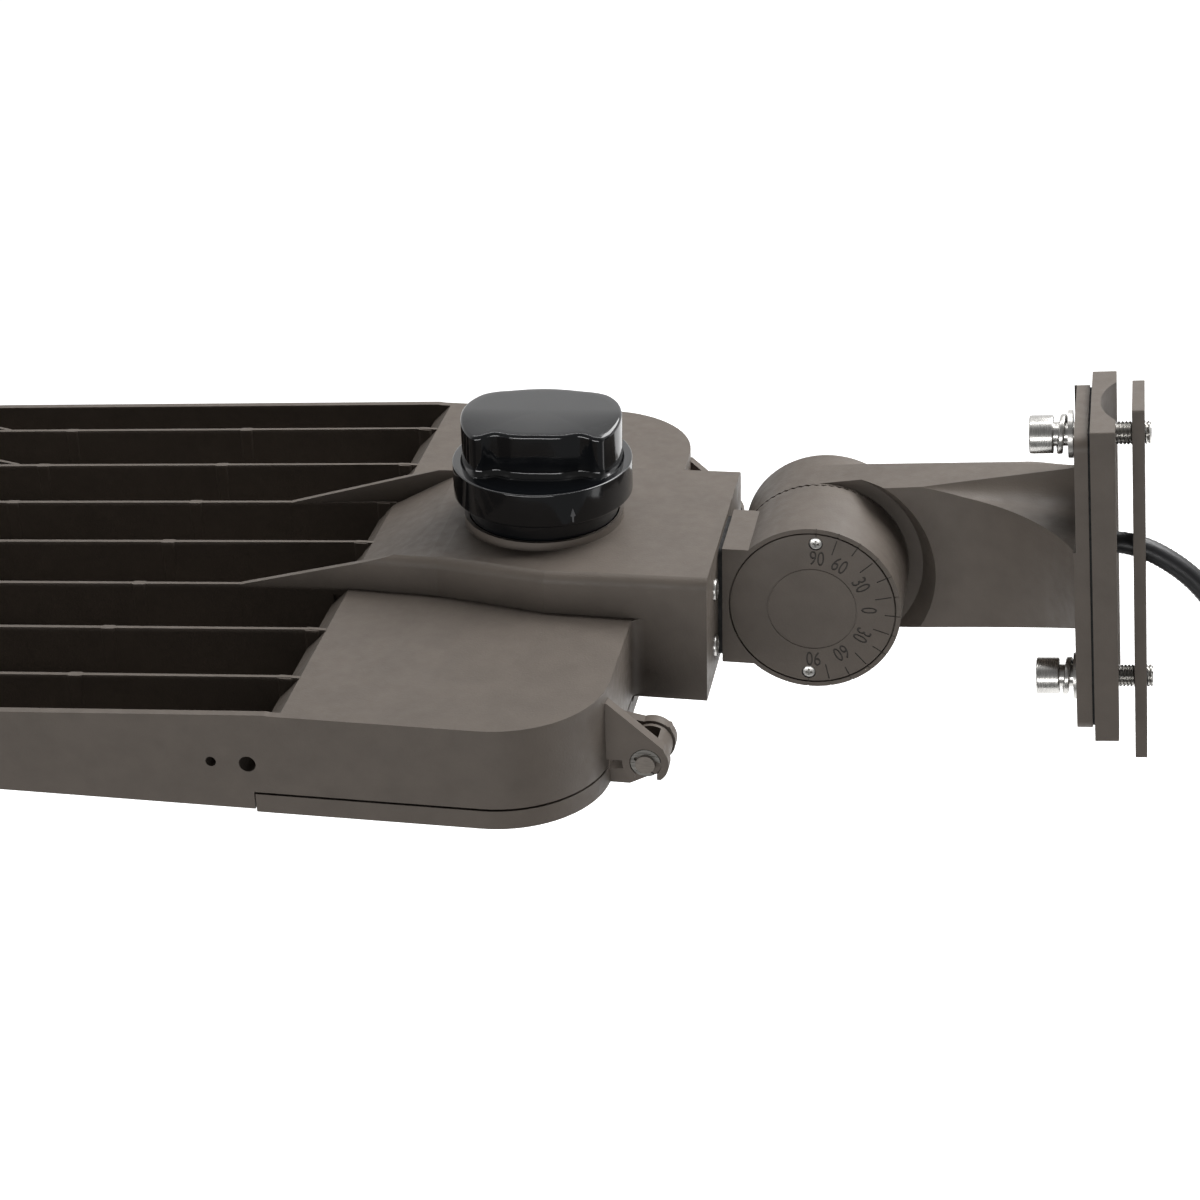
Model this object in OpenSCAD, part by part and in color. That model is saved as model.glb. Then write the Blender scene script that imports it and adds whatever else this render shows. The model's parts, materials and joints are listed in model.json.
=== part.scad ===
// Shoebox area light on a pole arm. Millimetres, +Z up.
// The origin is the middle of the pole plate's pole side. The head lies along -X, the pole along +X.
// The head's own pieces are drawn round the knuckle axis and then tilted to the rest pose.

/* [Pole mount] */
// Width of the plate that sits against the pole
plate_w = 64; // [58:1:80]
// Height of the pole plate
plate_h = 144; // [138:1:170]
// Thickness of the pole plate
plate_t = 10; // [9:0.5:14]
// Radius of the hollow that seats a round pole
hollow_r = 33.5; // [30:0.5:60]
// Depth of the hollow at its middle
hollow_depth = 6.2; // [3:0.1:7]
// Distance between the two pole screws
screw_span = 115; // [110:0.5:120]
// Pole wall that the two plates clamp
pole_wall = 6.6; // [2:0.1:8]
// Width of the backing plate inside the pole
backing_w = 32; // [26:1:50]
// Height of the backing plate
backing_h = 164; // [150:1:180]
// Thickness of the backing plate
backing_t = 5; // [4:0.5:8]
// How far the backing plate hangs below the pole plate's middle
backing_drop = 7.6; // [0:0.1:9]
// Thread diameter of the pole screws
pole_screw_d = 10; // [8:1:12]
// Length of the pole screws under the head
pole_screw_len = 40; // [38:1:50]
// Thickness of the flat washers
washer_t = 2; // [1.5:0.1:3]
// Free height of the spring washers
spring_washer_h = 6; // [4:0.1:7]

/* [Arm and knuckle] */
// Width of the arm's flange
flange_w = 60; // [54:1:70]
// Height of the arm's flange
flange_h = 137; // [126:1:150]
// Thickness of the arm's flange
flange_t = 6.5; // [5:0.5:9]
// Thickness of the flange gasket
flange_gasket_t = 1; // [0.8:0.1:2]
// Distance from the knuckle axis to the flange's front face
arm_reach = 111; // [104:1:130]
// How far the knuckle axis lies below the pole plate's middle
arm_drop = 12.5; // [6:0.5:14]
// Radius of the knuckle's drum and hub
drum_r = 38; // [36:0.5:42]
// Width of the head's half of the knuckle
drum_w = 43.5; // [38:0.5:50]
// Width of the arm's half of the knuckle
hub_w = 34.5; // [30:0.5:42]
// Number of teeth round the knuckle
teeth = 72; // [36:12:96]
// Depth of the teeth at the rim
tooth_h = 1; // [0.6:0.1:1.2]
// Radius of the recess that the drum turns in
pocket_r = 50.3; // [50:0.1:52]
// Height of the arm's top above the knuckle axis, at the flange
arm_top = 42.5; // [42:0.5:46]
// Radius of the arm's round back edges
arm_round = 30; // [24:1:34]
// Radius of the arm's flare to the flange
flare_r = 68; // [62:1:90]
// Diameter of the pivot bolt
pivot_d = 12; // [10:1:14]
// Radius of the dial cover
dial_r = 35.4; // [30:0.1:36]
// Thickness of the dial cover
dial_t = 2.5; // [2:0.1:4]
// Turn of the dial cover in its seat, degrees
dial_turn = 2; // [0:1:5]
// Tilt of the head at rest, degrees
rest_tilt = 4.3; // [0:0.1:10]

/* [Head housing] */
// Width of the head
head_w = 310; // [290:1:340]
// Length of the head from its front to the driver bay's rear wall
head_l = 465; // [440:5:560]
// Distance from the knuckle axis to the bay's rear wall
bay_rear = 72.5; // [70:0.5:80]
// Radius of the head's corners, seen from above
corner_r = 45; // [30:1:50]
// Wall thickness of the casting
wall = 3.5; // [3:0.1:4.5]
// Height of the bay's flat top above the knuckle axis
bay_top = 7.9; // [6:0.1:12]
// Slope of the fins' tops, degrees
top_slope = 3.55; // [2:0.05:4]
// Depth of the head's bottom edge below the knuckle axis
seat = 36; // [34:0.5:42]
// Thickness of the deck between the fins and the LED boards
deck_t = 5; // [4:0.5:7]
// Depth of the deck's underside below the knuckle axis
deck_low = 28; // [26:0.5:30]
// Number of fins between the side walls
fins = 7; // [7:2:9]
// Distance from fin to fin
fin_pitch = 41; // [30:0.5:42]
// Thickness of a fin at its top
fin_top_t = 1.7; // [1.4:0.1:2.5]
// Thickness of a fin at its foot
fin_foot_t = 3; // [2.6:0.1:4]
// Length of the small thick spots where the fins were pushed out of the mould
nub_l = 7; // [5:0.5:10]
// Distance between two rows of thick spots
nub_pitch = 90.5; // [80:0.5:100]

/* [Driver bay and neck] */
// Distance from the knuckle axis to the front edge of the bay's flat top
bay_front = 198; // [190:1:205]
// Run of the slope in front of the bay
bay_slope = 8.5; // [6:0.5:12]
// Width of the neck
neck_w = 110; // [104:1:116]
// Width of the neck where it meets the two long fins
neck_front_w = 92; // [88:1:96]
// Distance from the knuckle axis to the neck's rear face
neck_rear = 40.8; // [40.5:0.1:44]
// Height of the neck's top above the knuckle axis
neck_top = 28; // [27:0.1:31]
// Depth of the neck's underside below the knuckle axis
neck_low = 29.7; // [28:0.1:30]
// Radius along the neck's top edges
neck_round = 5; // [3:0.5:7]
// Diameter of the plain hole in the head's side
side_hole_d = 4.4; // [3:0.1:6]
// Diameter of the tapped hole in the head's side
side_tap_d = 7; // [6:0.1:8]

/* [Door and hinges] */
// Distance from the knuckle axis to the seam at the door's front
door_front = 211; // [210:0.5:214]
// Depth of the seam above the door, below the knuckle axis
door_seam = 28; // [27.5:0.1:29]
// Depth of the door's underside, below the knuckle axis
door_low = 37.3; // [36.5:0.1:39]
// Thickness of the door's panel
door_t = 2.5; // [2:0.1:3.5]
// Thickness of the door's rim
door_rim_t = 3; // [2.5:0.1:4]
// Distance from the knuckle axis to the hinge pins
pin_back = 57; // [56:0.5:60]
// Depth of the hinge pins below the knuckle axis
pin_low = 24.2; // [23:0.1:26]
// Diameter of the hinge pins
pin_d = 8; // [6:0.5:8]
// Distance from the head's middle to the outer face of a hinge
hinge_out = 118; // [112:0.5:122]
// Thickness of a hinge ear
ear_t = 5; // [4:0.5:6]
// Length of a door barrel
barrel_l = 12.4; // [10:0.1:16]

/* [Twist-lock cap] */
// Distance from the knuckle axis to the cap's axis
cap_back = 120.2; // [116:0.1:124]
// Radius of the cap's skirt
cap_r = 39; // [37:0.5:41]
// Height of the cap's rim above the knuckle axis
cap_rim = 54.6; // [52:0.1:58]
// Height of the wide part of the skirt
skirt_h = 11.6; // [9:0.1:14]
// Radius of the receptacle under the skirt
socket_r = 32.7; // [31:0.1:34]
// Radius of the raised collar on the neck
collar_r = 34.8; // [34.5:0.1:37]
// Height of the collar's top above the knuckle axis
collar_top = 30.2; // [29.5:0.1:32]
// Height of the grip above the rim
grip_h = 20; // [14:0.5:24]
// Turn of the cap at rest, degrees
cap_turn = 5.4; // [0:0.1:10]
// Turn that unlocks the cap, degrees
cap_unlock = 20; // [10:1:30]

/* [LED modules] */
// Length of a lens plate along the head
lens_l = 146; // [120:1:150]
// Margin between a lens plate's side and the head's side
lens_side = 13; // [13:0.5:30]
// Thickness of a lens plate
lens_t = 3; // [2.5:0.1:4]
// Rows of lenses on a plate, along the head
lens_rows = 4; // [3:1:4]
// Lenses in a row, across the head
lens_cols = 9; // [6:1:9]
// Radius of one lens
lens_r = 10; // [7:0.5:12]
// Height of one lens
lens_h = 3.6; // [2:0.1:4]
// Thickness of an LED board
board_t = 1.6; // [1:0.1:2]

/* [Driver and wiring] */
// Length of the driver across the head
driver_l = 190; // [150:1:200]
// Width of the driver along the head
driver_w = 58; // [40:1:62]
// Height of the driver
driver_h = 25; // [18:1:26]
// Diameter of the wires in the bay
wire_d = 2.4; // [1.5:0.1:3]

/* [Supply cord] */
// Diameter of the supply cord
cord_d = 9.5; // [9:0.1:9.5]
// Height of the cord's hole above the pole plate's middle
cord_z = 7; // [4:0.5:10]
// Radius of the coil at the middle of its turns
coil_r = 52; // [50:0.5:58]
// Whole turns in the coil
coil_turns = 3; // [1:1:3]

/* [Fits] */
// Clearance round a shaft or a pin, on the radius
running = 0.05; // [0.02:0.01:0.1]
// Gap between pieces that move past each other
gap = 0.3; // [0.2:0.05:0.5]
// Gap round a screw in its clearance hole, on the radius
screw_gap = 0.5; // [0.3:0.05:1]

/* [Hidden] */
$fn = 96;

bronze = [0.42, 0.39, 0.36];
steel = [0.78, 0.78, 0.76];
black = [0.06, 0.06, 0.07];
e = 0.01;
big = 400;

// Places along the arm, from the knuckle axis
flange_back = arm_reach + flange_t;
plate_front = flange_back + flange_gasket_t;
knuckle_x = -(plate_front + plate_t);
mid = arm_drop;
screw_r = pole_screw_d / 2;
screw_head_r = 0.8 * pole_screw_d;
cord_hole = cord_z + mid;
grommet_r = cord_d / 2 + 4.2;
face_y = drum_w / 2 - 0.25;
dial_y = face_y - drum_w;
hub_y = face_y + 0.15;
hub_back = hub_y + hub_w;
tooth_ring = 9;
pocket_floor_r = 44;
pocket_y = 12;
scoop_x = 22;
shoulder_x = 28;
shoulder_z = neck_rear - 0.4;
wire_space_r = drum_r - tooth_ring - 2;
pivot_r = pivot_d / 2;
pivot_head_y = face_y - 16;
nut_y = hub_back - 8;

// Places along the head, from the knuckle axis
front_x = -(bay_rear + head_l);
slope_foot = -(bay_front + bay_slope);
bay_inner_front = -(bay_front + 2.5);
half_w = head_w / 2;
deck_top = deck_t - deck_low;
bay_ceiling = bay_top - wall;
fin_line_end = -(bay_front + 6);
neck_fall = 1.05;
neck_half = neck_w / 2;
neck_front_half = neck_front_w / 2;
neck_taper_rear = -110;
neck_taper_front = -158;
ramp_front = -248;
ramp_t = 2.6;
cap_x = -cap_back;
bracket_x = -38.8;
bracket_top = 26.2;
bracket_low = -28.7;
spigot_y = 18;
spigot_z = 20;
bracket_screw_y = 30.5;
bracket_screw_z = [11, -16];
dial_screw_r = 31.1;
hole_z = -15;
hole_x = [-228, -212.7];
module_x = [-222 - lens_l, -226 - 2 * lens_l];
driver_x = -150;
driver_y = 22;
door_rear = -bay_rear;
seam_gap = 1;
ledge = 6;
latch_y = 120;
latch_x = -205.6;
ear_r = 9.6;
clip_r = 6.2;
ear_y = hinge_out - ear_t;
inner_ear_y = ear_y - barrel_l - 2 * gap - ear_t;

function top_line(x) = bay_top + 0.3 + (x - fin_line_end) * tan(top_slope);

// Two-dimensional helpers

module slab(x0, x1, y0, y1) {
  translate([x0, y0]) square([x1 - x0, y1 - y0]);
}

module round_slab(x0, x1, y0, y1, r) {
  slab(x0 + r, x1 - r, y0, y1);
  slab(x0, x1, y0 + r, y1 - r);
  for (x = [x0 + r, x1 - r], y = [y0 + r, y1 - r]) translate([x, y]) circle(r);
}

// Extrusions along X and along Y; the outline is drawn in (Y, Z) or in (X, Z)

module along_x(x0, x1) {
  translate([x0, 0, 0]) rotate([90, 0, 90]) linear_extrude(x1 - x0) children();
}

module along_y(y0, y1) {
  translate([0, y1, 0]) rotate([90, 0, 0]) linear_extrude(y1 - y0) children();
}

module block(a, b) {
  translate(a) cube(b - a);
}

module rod_x(x0, x1, r, y = 0, z = 0) {
  translate([x0, y, z]) rotate([0, 90, 0]) cylinder(h = x1 - x0, r = r);
}

module rod_y(y0, y1, r, x = 0, z = 0) {
  translate([x, y0, z]) rotate([-90, 0, 0]) cylinder(h = y1 - y0, r = r);
}

module rod_z(z0, z1, r, x = 0, y = 0) {
  translate([x, y, z0]) cylinder(h = z1 - z0, r = r);
}

module at_knuckle() {
  translate([knuckle_x, 0, -arm_drop]) children();
}

module in_head() {
  at_knuckle() rotate([0, rest_tilt, 0]) children();
}

// A tube of s sides swept along points; the ends are square to the first and last step
function unit(v) = v / norm(v);
function step_dir(p, i) = unit(p[min(i + 1, len(p) - 1)] - p[max(i - 1, 0)]);
function side_dir(d) = unit(cross(d, abs(d[2]) > 0.8 ? [1, 0, 0] : [0, 0, 1]));
function frames(p, i = 0, u = undef, out = []) =
  i == len(p) ? out :
  let (d = step_dir(p, i), a = i == 0 ? side_dir(d) : unit(u - d * (u * d)))
  frames(p, i + 1, a, concat(out, [[a, cross(d, a)]]));

module tube(p, r, s) {
  f = frames(p);
  n = len(p);
  points = [for (i = [0:n - 1], j = [0:s - 1])
    p[i] + r * (cos(360 * j / s) * f[i][0] + sin(360 * j / s) * f[i][1])];
  sides = [for (i = [0:n - 2], j = [0:s - 1], k = [0, 1])
    k == 0 ? [i * s + j, (i + 1) * s + j, i * s + (j + 1) % s]
    : [i * s + (j + 1) % s, (i + 1) * s + j, (i + 1) * s + (j + 1) % s]];
  caps = [[for (j = [0:s - 1]) j], [for (j = [0:s - 1]) n * s - 1 - j]];
  polyhedron(points = points, faces = concat(sides, caps), convexity = 6);
}

// Points on a smooth curve through the chosen points, k to each stretch
function smooth_point(a, b, c, d, t) =
  0.5 * (2 * b + (c - a) * t + (2 * a - 5 * b + 4 * c - d) * t * t
    + (3 * b - a - 3 * c + d) * t * t * t);
function smooth(p, k) = concat([for (i = [0:len(p) - 2], j = [0:k - 1])
  smooth_point(p[max(i - 1, 0)], p[i], p[i + 1], p[min(i + 2, len(p) - 1)], j / k)],
  [p[len(p) - 1]]);

module serrated_ring(shift) {
  // The crests lie at y = 0 and the body of the ring goes towards +Y
  difference() {
    rod_y(0, 4, drum_r);
    rod_y(-1, 5, drum_r - tooth_ring);
    for (i = [0:teeth - 1])
      rotate([0, (i + shift) * 360 / teeth, 0])
        groove();
  }
}

module groove() {
  // A groove whose depth and width grow with the radius
  half = PI * drum_r / teeth;
  rotate([0, 0, atan(tooth_h / drum_r)])
    along_x(drum_r - tooth_ring - 4, drum_r + 4)
      polygon([[0, 0], [-2 * tooth_h, -2 * half], [-2 * tooth_h, 2 * half]]);
}

// Arm

module arm_section() {
  back = hub_back - arm_round;
  low = -33.2;
  difference() {
    union() {
      slab(-40, back, low, arm_top);
      slab(back, hub_back, low + arm_round, arm_top - arm_round);
      translate([back, arm_top - arm_round]) circle(arm_round);
      translate([back, low + arm_round]) circle(arm_round);
    }
    // The slanted underside of the flare
    polygon([[-60, low - 1], [-60, 10.2], [-28, -6.8], [back - 5.7, -31.8], [back, low],
      [back, low - 1]]);
  }
}

module arm_plan() {
  near = pocket_y;
  flare_x = arm_reach - sqrt(pow(flare_r, 2) - pow(flare_r - (near + flange_w / 2 - 2), 2));
  difference() {
    slab(-drum_r, arm_reach + 1, -flange_w / 2 + 2, hub_back);
    translate([flare_x, near - flare_r]) circle(flare_r);
    slab(-drum_r, flare_x, -big, near);
    // The back side draws in to the flange's far edge
    translate([arm_reach + 6, hub_back + 10]) circle(hub_back + 10 - (flange_w / 2 - 2));
  }
}

module arm_scoop() {
  // The hollow over the flare that leaves room for the upper screw's key
  scoop_r = 16;
  far = flange_w / 2 - 4;
  low = arm_top - 13;
  hull() {
    along_x(arm_reach, arm_reach + 1) {
      slab(-50, far - scoop_r, low, 90);
      slab(-50, far, low + scoop_r, 90);
      translate([far - scoop_r, low + scoop_r]) circle(scoop_r);
    }
    along_x(scoop_x, scoop_x + 1) slab(-50, 8, arm_top, 90);
  }
}

module arm_side() {
  // Seen from the side, the top rises from the hub's crown to the shoulder and on to the flange
  crown = acos(drum_r / norm([shoulder_x, shoulder_z])) + atan2(shoulder_z, shoulder_x);
  inner = drum_r - 0.15;
  polygon([[0, -drum_r], [0, 0], [inner * cos(crown), inner * sin(crown)], [shoulder_x, shoulder_z],
    [arm_reach + 1, arm_top], [arm_reach + 1, -drum_r]]);
}

module arm_casting() {
  color(bronze) at_knuckle() difference() {
    union() {
      rod_y(hub_y + 4 - e, hub_back, drum_r);
      translate([0, hub_y, 0]) serrated_ring(0.5);
      intersection() {
        along_x(-drum_r, arm_reach + 1) arm_section();
        translate([0, 0, -60]) linear_extrude(130) arm_plan();
        along_y(-60, hub_back + 1) arm_side();
      }
      along_x(arm_reach, flange_back)
        round_slab(-flange_w / 2, flange_w / 2, mid - flange_h / 2, mid + flange_h / 2, 6);
    }
    arm_scoop();
    // The drum's pocket: a flat floor inside a slanted rim
    difference() {
      union() {
        rod_y(-60, hub_y + 1.2, pocket_floor_r);
        rod_y(-60, pocket_y + e, pocket_r);
        translate([0, pocket_y, 0]) rotate([-90, 0, 0])
          cylinder(h = hub_y + 1.2 - pocket_y, r1 = pocket_r, r2 = pocket_floor_r);
      }
      rod_y(hub_y, hub_back, drum_r);
    }
    // Round edge at the back of the hub
    rotate([-90, 0, 0]) translate([0, 0, hub_back - 5]) rotate_extrude()
      difference() {
        slab(drum_r - 5, drum_r + 0.5, 0, 6);
        translate([drum_r - 5, 0]) circle(5.2);
        slab(drum_r - 10, drum_r, -6, 0);
      }
    difference() {
      rod_y(hub_y - 1, hub_y + 24, wire_space_r);
      rod_y(hub_y + 1, hub_y + 25, pivot_r + 6);
    }
    rod_y(hub_y - 1, hub_back + 1, pivot_r + running);
    rod_y(nut_y, hub_back + 1, pivot_d);
    // Wireway from the flange to the hub
    translate([arm_reach + 2, 0, cord_hole]) rotate([0, 0, 152]) rotate([0, 101, 0])
      translate([0, 0, -12]) cylinder(h = 114, r = 6);
    rod_x(arm_reach + 0.5, flange_back + 1, grommet_r + 3, 0, cord_hole);
    for (z = [-0.5, 0.5] * screw_span)
      rod_x(arm_reach - 1, flange_back + 1, screw_r + screw_gap, 0, mid + z);
  }
}

// Pole mount

module mount_outline(w, h, r, holes) {
  difference() {
    round_slab(-w / 2, w / 2, -h / 2, h / 2, r);
    for (z = [-0.5, 0.5] * screw_span) translate([0, z]) circle(holes);
  }
}

module flange_gasket() {
  color(black) difference() {
    along_x(-plate_t - flange_gasket_t, -plate_t)
      mount_outline(flange_w - 2, flange_h - 2, 5, screw_r + screw_gap);
    rod_x(-plate_t - 3, -plate_t + 1, grommet_r + 3, 0, cord_z);
  }
}

module pole_plate() {
  color(bronze) difference() {
    along_x(-plate_t, 0) mount_outline(plate_w, plate_h, 1, screw_r + screw_gap);
    translate([hollow_r - hollow_depth, 0, -plate_h]) cylinder(h = 2 * plate_h, r = hollow_r);
    rod_x(-plate_t - 1, 1, grommet_r, 0, cord_z);
  }
}

module backing_plate() {
  color(bronze) difference() {
    along_x(pole_wall, pole_wall + backing_t) difference() {
      round_slab(-backing_w / 2, backing_w / 2, -backing_h / 2 - backing_drop,
        backing_h / 2 - backing_drop, 1);
      for (z = [-0.5, 0.5] * screw_span) translate([0, z]) circle(screw_r + running);
      translate([0, cord_z - 3]) circle(11);
    }
  }
}

module each_pole_screw() {
  for (z = [-0.5, 0.5] * screw_span)
    translate([-plate_t - flange_gasket_t - flange_t, 0, z]) children();
}

module pole_screws() {
  under = -washer_t - spring_washer_h;
  color(steel) each_pole_screw() difference() {
    union() {
      rod_x(under, under + pole_screw_len - 1, screw_r);
      translate([under + pole_screw_len - 1, 0, 0]) rotate([0, 90, 0])
        cylinder(h = 1, r1 = screw_r, r2 = screw_r - 0.9);
      translate([under, 0, 0]) rotate([0, -90, 0]) rotate_extrude()
        polygon([[0, 0], [screw_head_r, 0], [screw_head_r, pole_screw_d - 0.8],
          [screw_head_r - 0.8, pole_screw_d], [0, pole_screw_d]]);
    }
    translate([under - pole_screw_d - 1, 0, 0]) rotate([0, 90, 0])
      cylinder(h = 0.5 * pole_screw_d + 1, r = 0.46 * pole_screw_d, $fn = 6);
  }
}

module spring_washers() {
  // One turn of square wire that climbs by its own thickness and a little more
  t = 2.5;
  inner = screw_r + 0.3;
  rise = spring_washer_h - t;
  n = 36;
  turn = 350;
  ring = [for (i = [0:n]) let (a = turn * i / n, x = rise * i / n)
    each [[x, inner * cos(a), inner * sin(a)], [x, (inner + 3) * cos(a), (inner + 3) * sin(a)],
      [x + t, (inner + 3) * cos(a), (inner + 3) * sin(a)], [x + t, inner * cos(a), inner * sin(a)]]];
  walls = [for (i = [0:n - 1], j = [0:3], k = [0, 1])
    k == 0 ? [4 * i + j, 4 * i + (j + 1) % 4, 4 * i + 4 + j]
    : [4 * i + (j + 1) % 4, 4 * i + 4 + (j + 1) % 4, 4 * i + 4 + j]];
  color(steel) each_pole_screw() translate([-washer_t - spring_washer_h, 0, 0])
    polyhedron(points = ring,
      faces = concat(walls, [[3, 2, 1, 0], [4 * n, 4 * n + 1, 4 * n + 2, 4 * n + 3]]));
}

module flat_washers() {
  color(steel) each_pole_screw() difference() {
    rod_x(-washer_t, 0, pole_screw_d);
    rod_x(-washer_t - 1, 1, screw_r + screw_gap / 2);
  }
}

// Supply cord

exit_x = -plate_t + 3.8 + 2;

module cord_grommet() {
  lip = grommet_r + 2;
  color(black) difference() {
    union() {
      rod_x(-plate_t - 2.5, -plate_t, lip, 0, cord_z);
      rod_x(-plate_t - e, exit_x, grommet_r - 0.02, 0, cord_z);
      // The outer lip fits the hollow's curve
      intersection() {
        rod_x(exit_x - 2, exit_x, grommet_r + 1.2, 0, cord_z);
        translate([hollow_r - hollow_depth, 0, cord_z - 20]) cylinder(h = 40, r = hollow_r - 0.02);
      }
    }
    rod_x(-plate_t - 3, exit_x + 1, cord_d / 2 + running, 0, cord_z);
  }
}

// The cord's route, chosen by hand, from the grommet to the coil's first turn
ROUTE = [[-12, 0, 7], [-4, 0, 7], [3, 0, 6.6], [12, 0, 3.6], [21, 0, -1.8], [30, 0, -9.4],
  [37.5, 0, -18.5], [43.5, 1, -29], [47.5, 4, -41], [50, 10, -53], [51.5, 19, -64],
  [52.5, 30, -76], [53.5, 40, -90], [54.5, 47.5, -106], [55.5, 51.5, -122], [56, 52, -132]];
coil_x = 56;
coil_z = -142;
coil_pitch = cord_d + 0.8;
coil_end = coil_z - cord_d;
coil_sides = 6;
coil_steps = 24;

function coil_point(t) = [coil_x + coil_pitch * t, coil_r * cos(360 * t), coil_z - coil_r * sin(360 * t)];
coil_line = concat([[coil_x, coil_r, coil_z + 10]],
  [for (i = [0:coil_steps * coil_turns]) coil_point(i / coil_steps)],
  [[coil_x + coil_pitch * coil_turns, coil_r, coil_end]]);

// Least distance between two stretches of the coil that are more than half a turn apart
coil_gap = min([for (i = [0:len(coil_line) - 1], j = [i + coil_steps / 2:1:len(coil_line) - 1])
  norm(coil_line[i] - coil_line[j])]) - cord_d;
echo(coil_gap = coil_gap);

module supply_cord() {
  color(black) tube(smooth(ROUTE, 2), cord_d / 2, 10);
}

module cord_coil() {
  color(black) tube(coil_line, cord_d / 2, coil_sides);
}

module coil_tie() {
  // A band round the turns, on the side away from the place where the cord joins them
  reach = (coil_turns - 1) * coil_pitch;
  half = cord_d / 2 + 0.25;
  band = half + 1.2;
  color([0.12, 0.12, 0.12]) translate([coil_x + coil_pitch / 2, -coil_r, coil_z]) difference() {
    block([-band, -band, -4], [reach + band, band, 4]);
    block([-half, -half, -5], [reach + half, half, 5]);
  }
}

module cord_leads() {
  x = coil_x + coil_pitch * coil_turns;
  wire = 1.5;
  color([0.1, 0.3, 0.15]) for (i = [-1, 0, 1])
    tube([[x + 2.6 * i, coil_r, coil_end], [x + 2.6 * i, coil_r, coil_end - 8],
      [x + 4 * i, coil_r + 1, coil_end - 22], [x + 6.5 * i, coil_r + 3, coil_end - 38],
      [x + 8.5 * i, coil_r + 4, coil_end - 55]], wire, 8);
}

// Knuckle fasteners

module pivot_bolt() {
  color(steel) at_knuckle() difference() {
    union() {
      rod_y(pivot_head_y - 2.5, hub_back - 0.5, pivot_r);
      rod_y(pivot_head_y - 2.5 - pivot_d, pivot_head_y - 2.5, 0.75 * pivot_d);
    }
    translate([0, pivot_head_y - 3.5 - pivot_d, 0]) rotate([-90, 0, 0])
      cylinder(h = 7, r = 0.48 * pivot_d, $fn = 6);
  }
}

module pivot_washer() {
  color(steel) at_knuckle() difference() {
    rod_y(pivot_head_y - 2.5, pivot_head_y - 0.05, pivot_d);
    rod_y(pivot_head_y - 4, pivot_head_y + 1, pivot_r + running);
  }
}

module pivot_nut() {
  color(steel) at_knuckle() difference() {
    translate([0, nut_y, 0]) rotate([-90, 0, 0]) cylinder(h = 7, r = 0.92 * pivot_d, $fn = 6);
    rod_y(nut_y - 1, hub_back + 1, pivot_r + running);
  }
}

// Head housing

module head_plan(inset, x0 = front_x) {
  round_slab(x0 + inset, -bay_rear - inset, -half_w + inset, half_w - inset, corner_r - inset);
}

module up(z0, z1) {
  translate([0, 0, z0]) linear_extrude(z1 - z0) children();
}

module head_block() {
  intersection() {
    up(-seat, bay_top + 1) head_plan(0);
    along_y(-half_w, half_w)
      polygon([[front_x, -seat], [front_x, top_line(front_x)], [fin_line_end, top_line(fin_line_end)],
        [fin_line_end + 2, bay_top], [0, bay_top], [0, -seat]]);
  }
}

module fin_space() {
  // The room between the side walls, from the deck up, that the fins stand in
  intersection() {
    up(deck_top, 60) head_plan(wall);
    along_y(-half_w, half_w)
      polygon([[front_x, deck_top], [slope_foot, deck_top], [slope_foot, bay_top - bay_slope],
        [-bay_front, bay_top], [-bay_front, 60], [front_x, 60]]);
  }
}

module fin_bar(y, x0, x1) {
  // A fin that is thicker at its foot
  foot = fin_foot_t / 2;
  tip = fin_top_t / 2;
  along_x(x0, x1) translate([y, 0])
    polygon([[-foot, deck_top - 1], [foot, deck_top - 1], [tip, bay_top + 1], [-tip, bay_top + 1]]);
}

module nub(x, y) {
  rod_z(deck_top, bay_top, 1.6, x - nub_l / 2 + 1.6, y);
  rod_z(deck_top, bay_top, 1.6, x + nub_l / 2 - 1.6, y);
  block([x - nub_l / 2 + 1.6, y - 1.6, deck_top], [x + nub_l / 2 - 1.6, y + 1.6, bay_top]);
}

nub_rows = [for (i = [0:3]) -204 - i * nub_pitch];

module fork(y, x) {
  // A short branch that leaves a fin at a small angle and runs on beside it
  side = y > 0 ? 1 : -1;
  w = fin_top_t;
  up(deck_top - 1, bay_top) polygon([[x, y], [x - 14, y + side * 5.5], [x - 44, y + side * 5.5],
    [x - 58, y], [x - 58, y + side * w], [x - 44.5, y + side * (5.5 + w)],
    [x - 13.5, y + side * (5.5 + w)], [x, y + side * w]]);
}

fork_x = [-418, -398, -392];

module fin_field() {
  intersection() {
    union() {
      for (i = [0:fins - 1]) let (k = i - (fins - 1) / 2) {
        fin_bar(k * fin_pitch, front_x + 1, -bay_front);
        for (x = nub_rows) nub(x, k * fin_pitch);
      }
      for (s = [-1, 1], j = [0:2]) fork(s * (3 - j) * fin_pitch, fork_x[j]);
    }
    along_y(-half_w, half_w)
      polygon([[front_x, deck_top - 1], [front_x, top_line(front_x)],
        [fin_line_end, top_line(fin_line_end)], [-bay_front, top_line(fin_line_end)],
        [-bay_front, deck_top - 1]]);
    up(-seat, 60) head_plan(1);
  }
}

module neck_wall_plan(side) {
  // Outer line of one side of the neck, carried on into a long fin
  t = ramp_t;
  a = side * neck_half;
  b = side * neck_front_half;
  c = side * fin_pitch;
  polygon([[ramp_front, c - side * t / 2], [ramp_front, c + side * t / 2],
    [neck_taper_front, b], [neck_taper_rear, a], [neck_taper_rear, a - side * t],
    [neck_taper_front, b - side * t]]);
}

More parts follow.
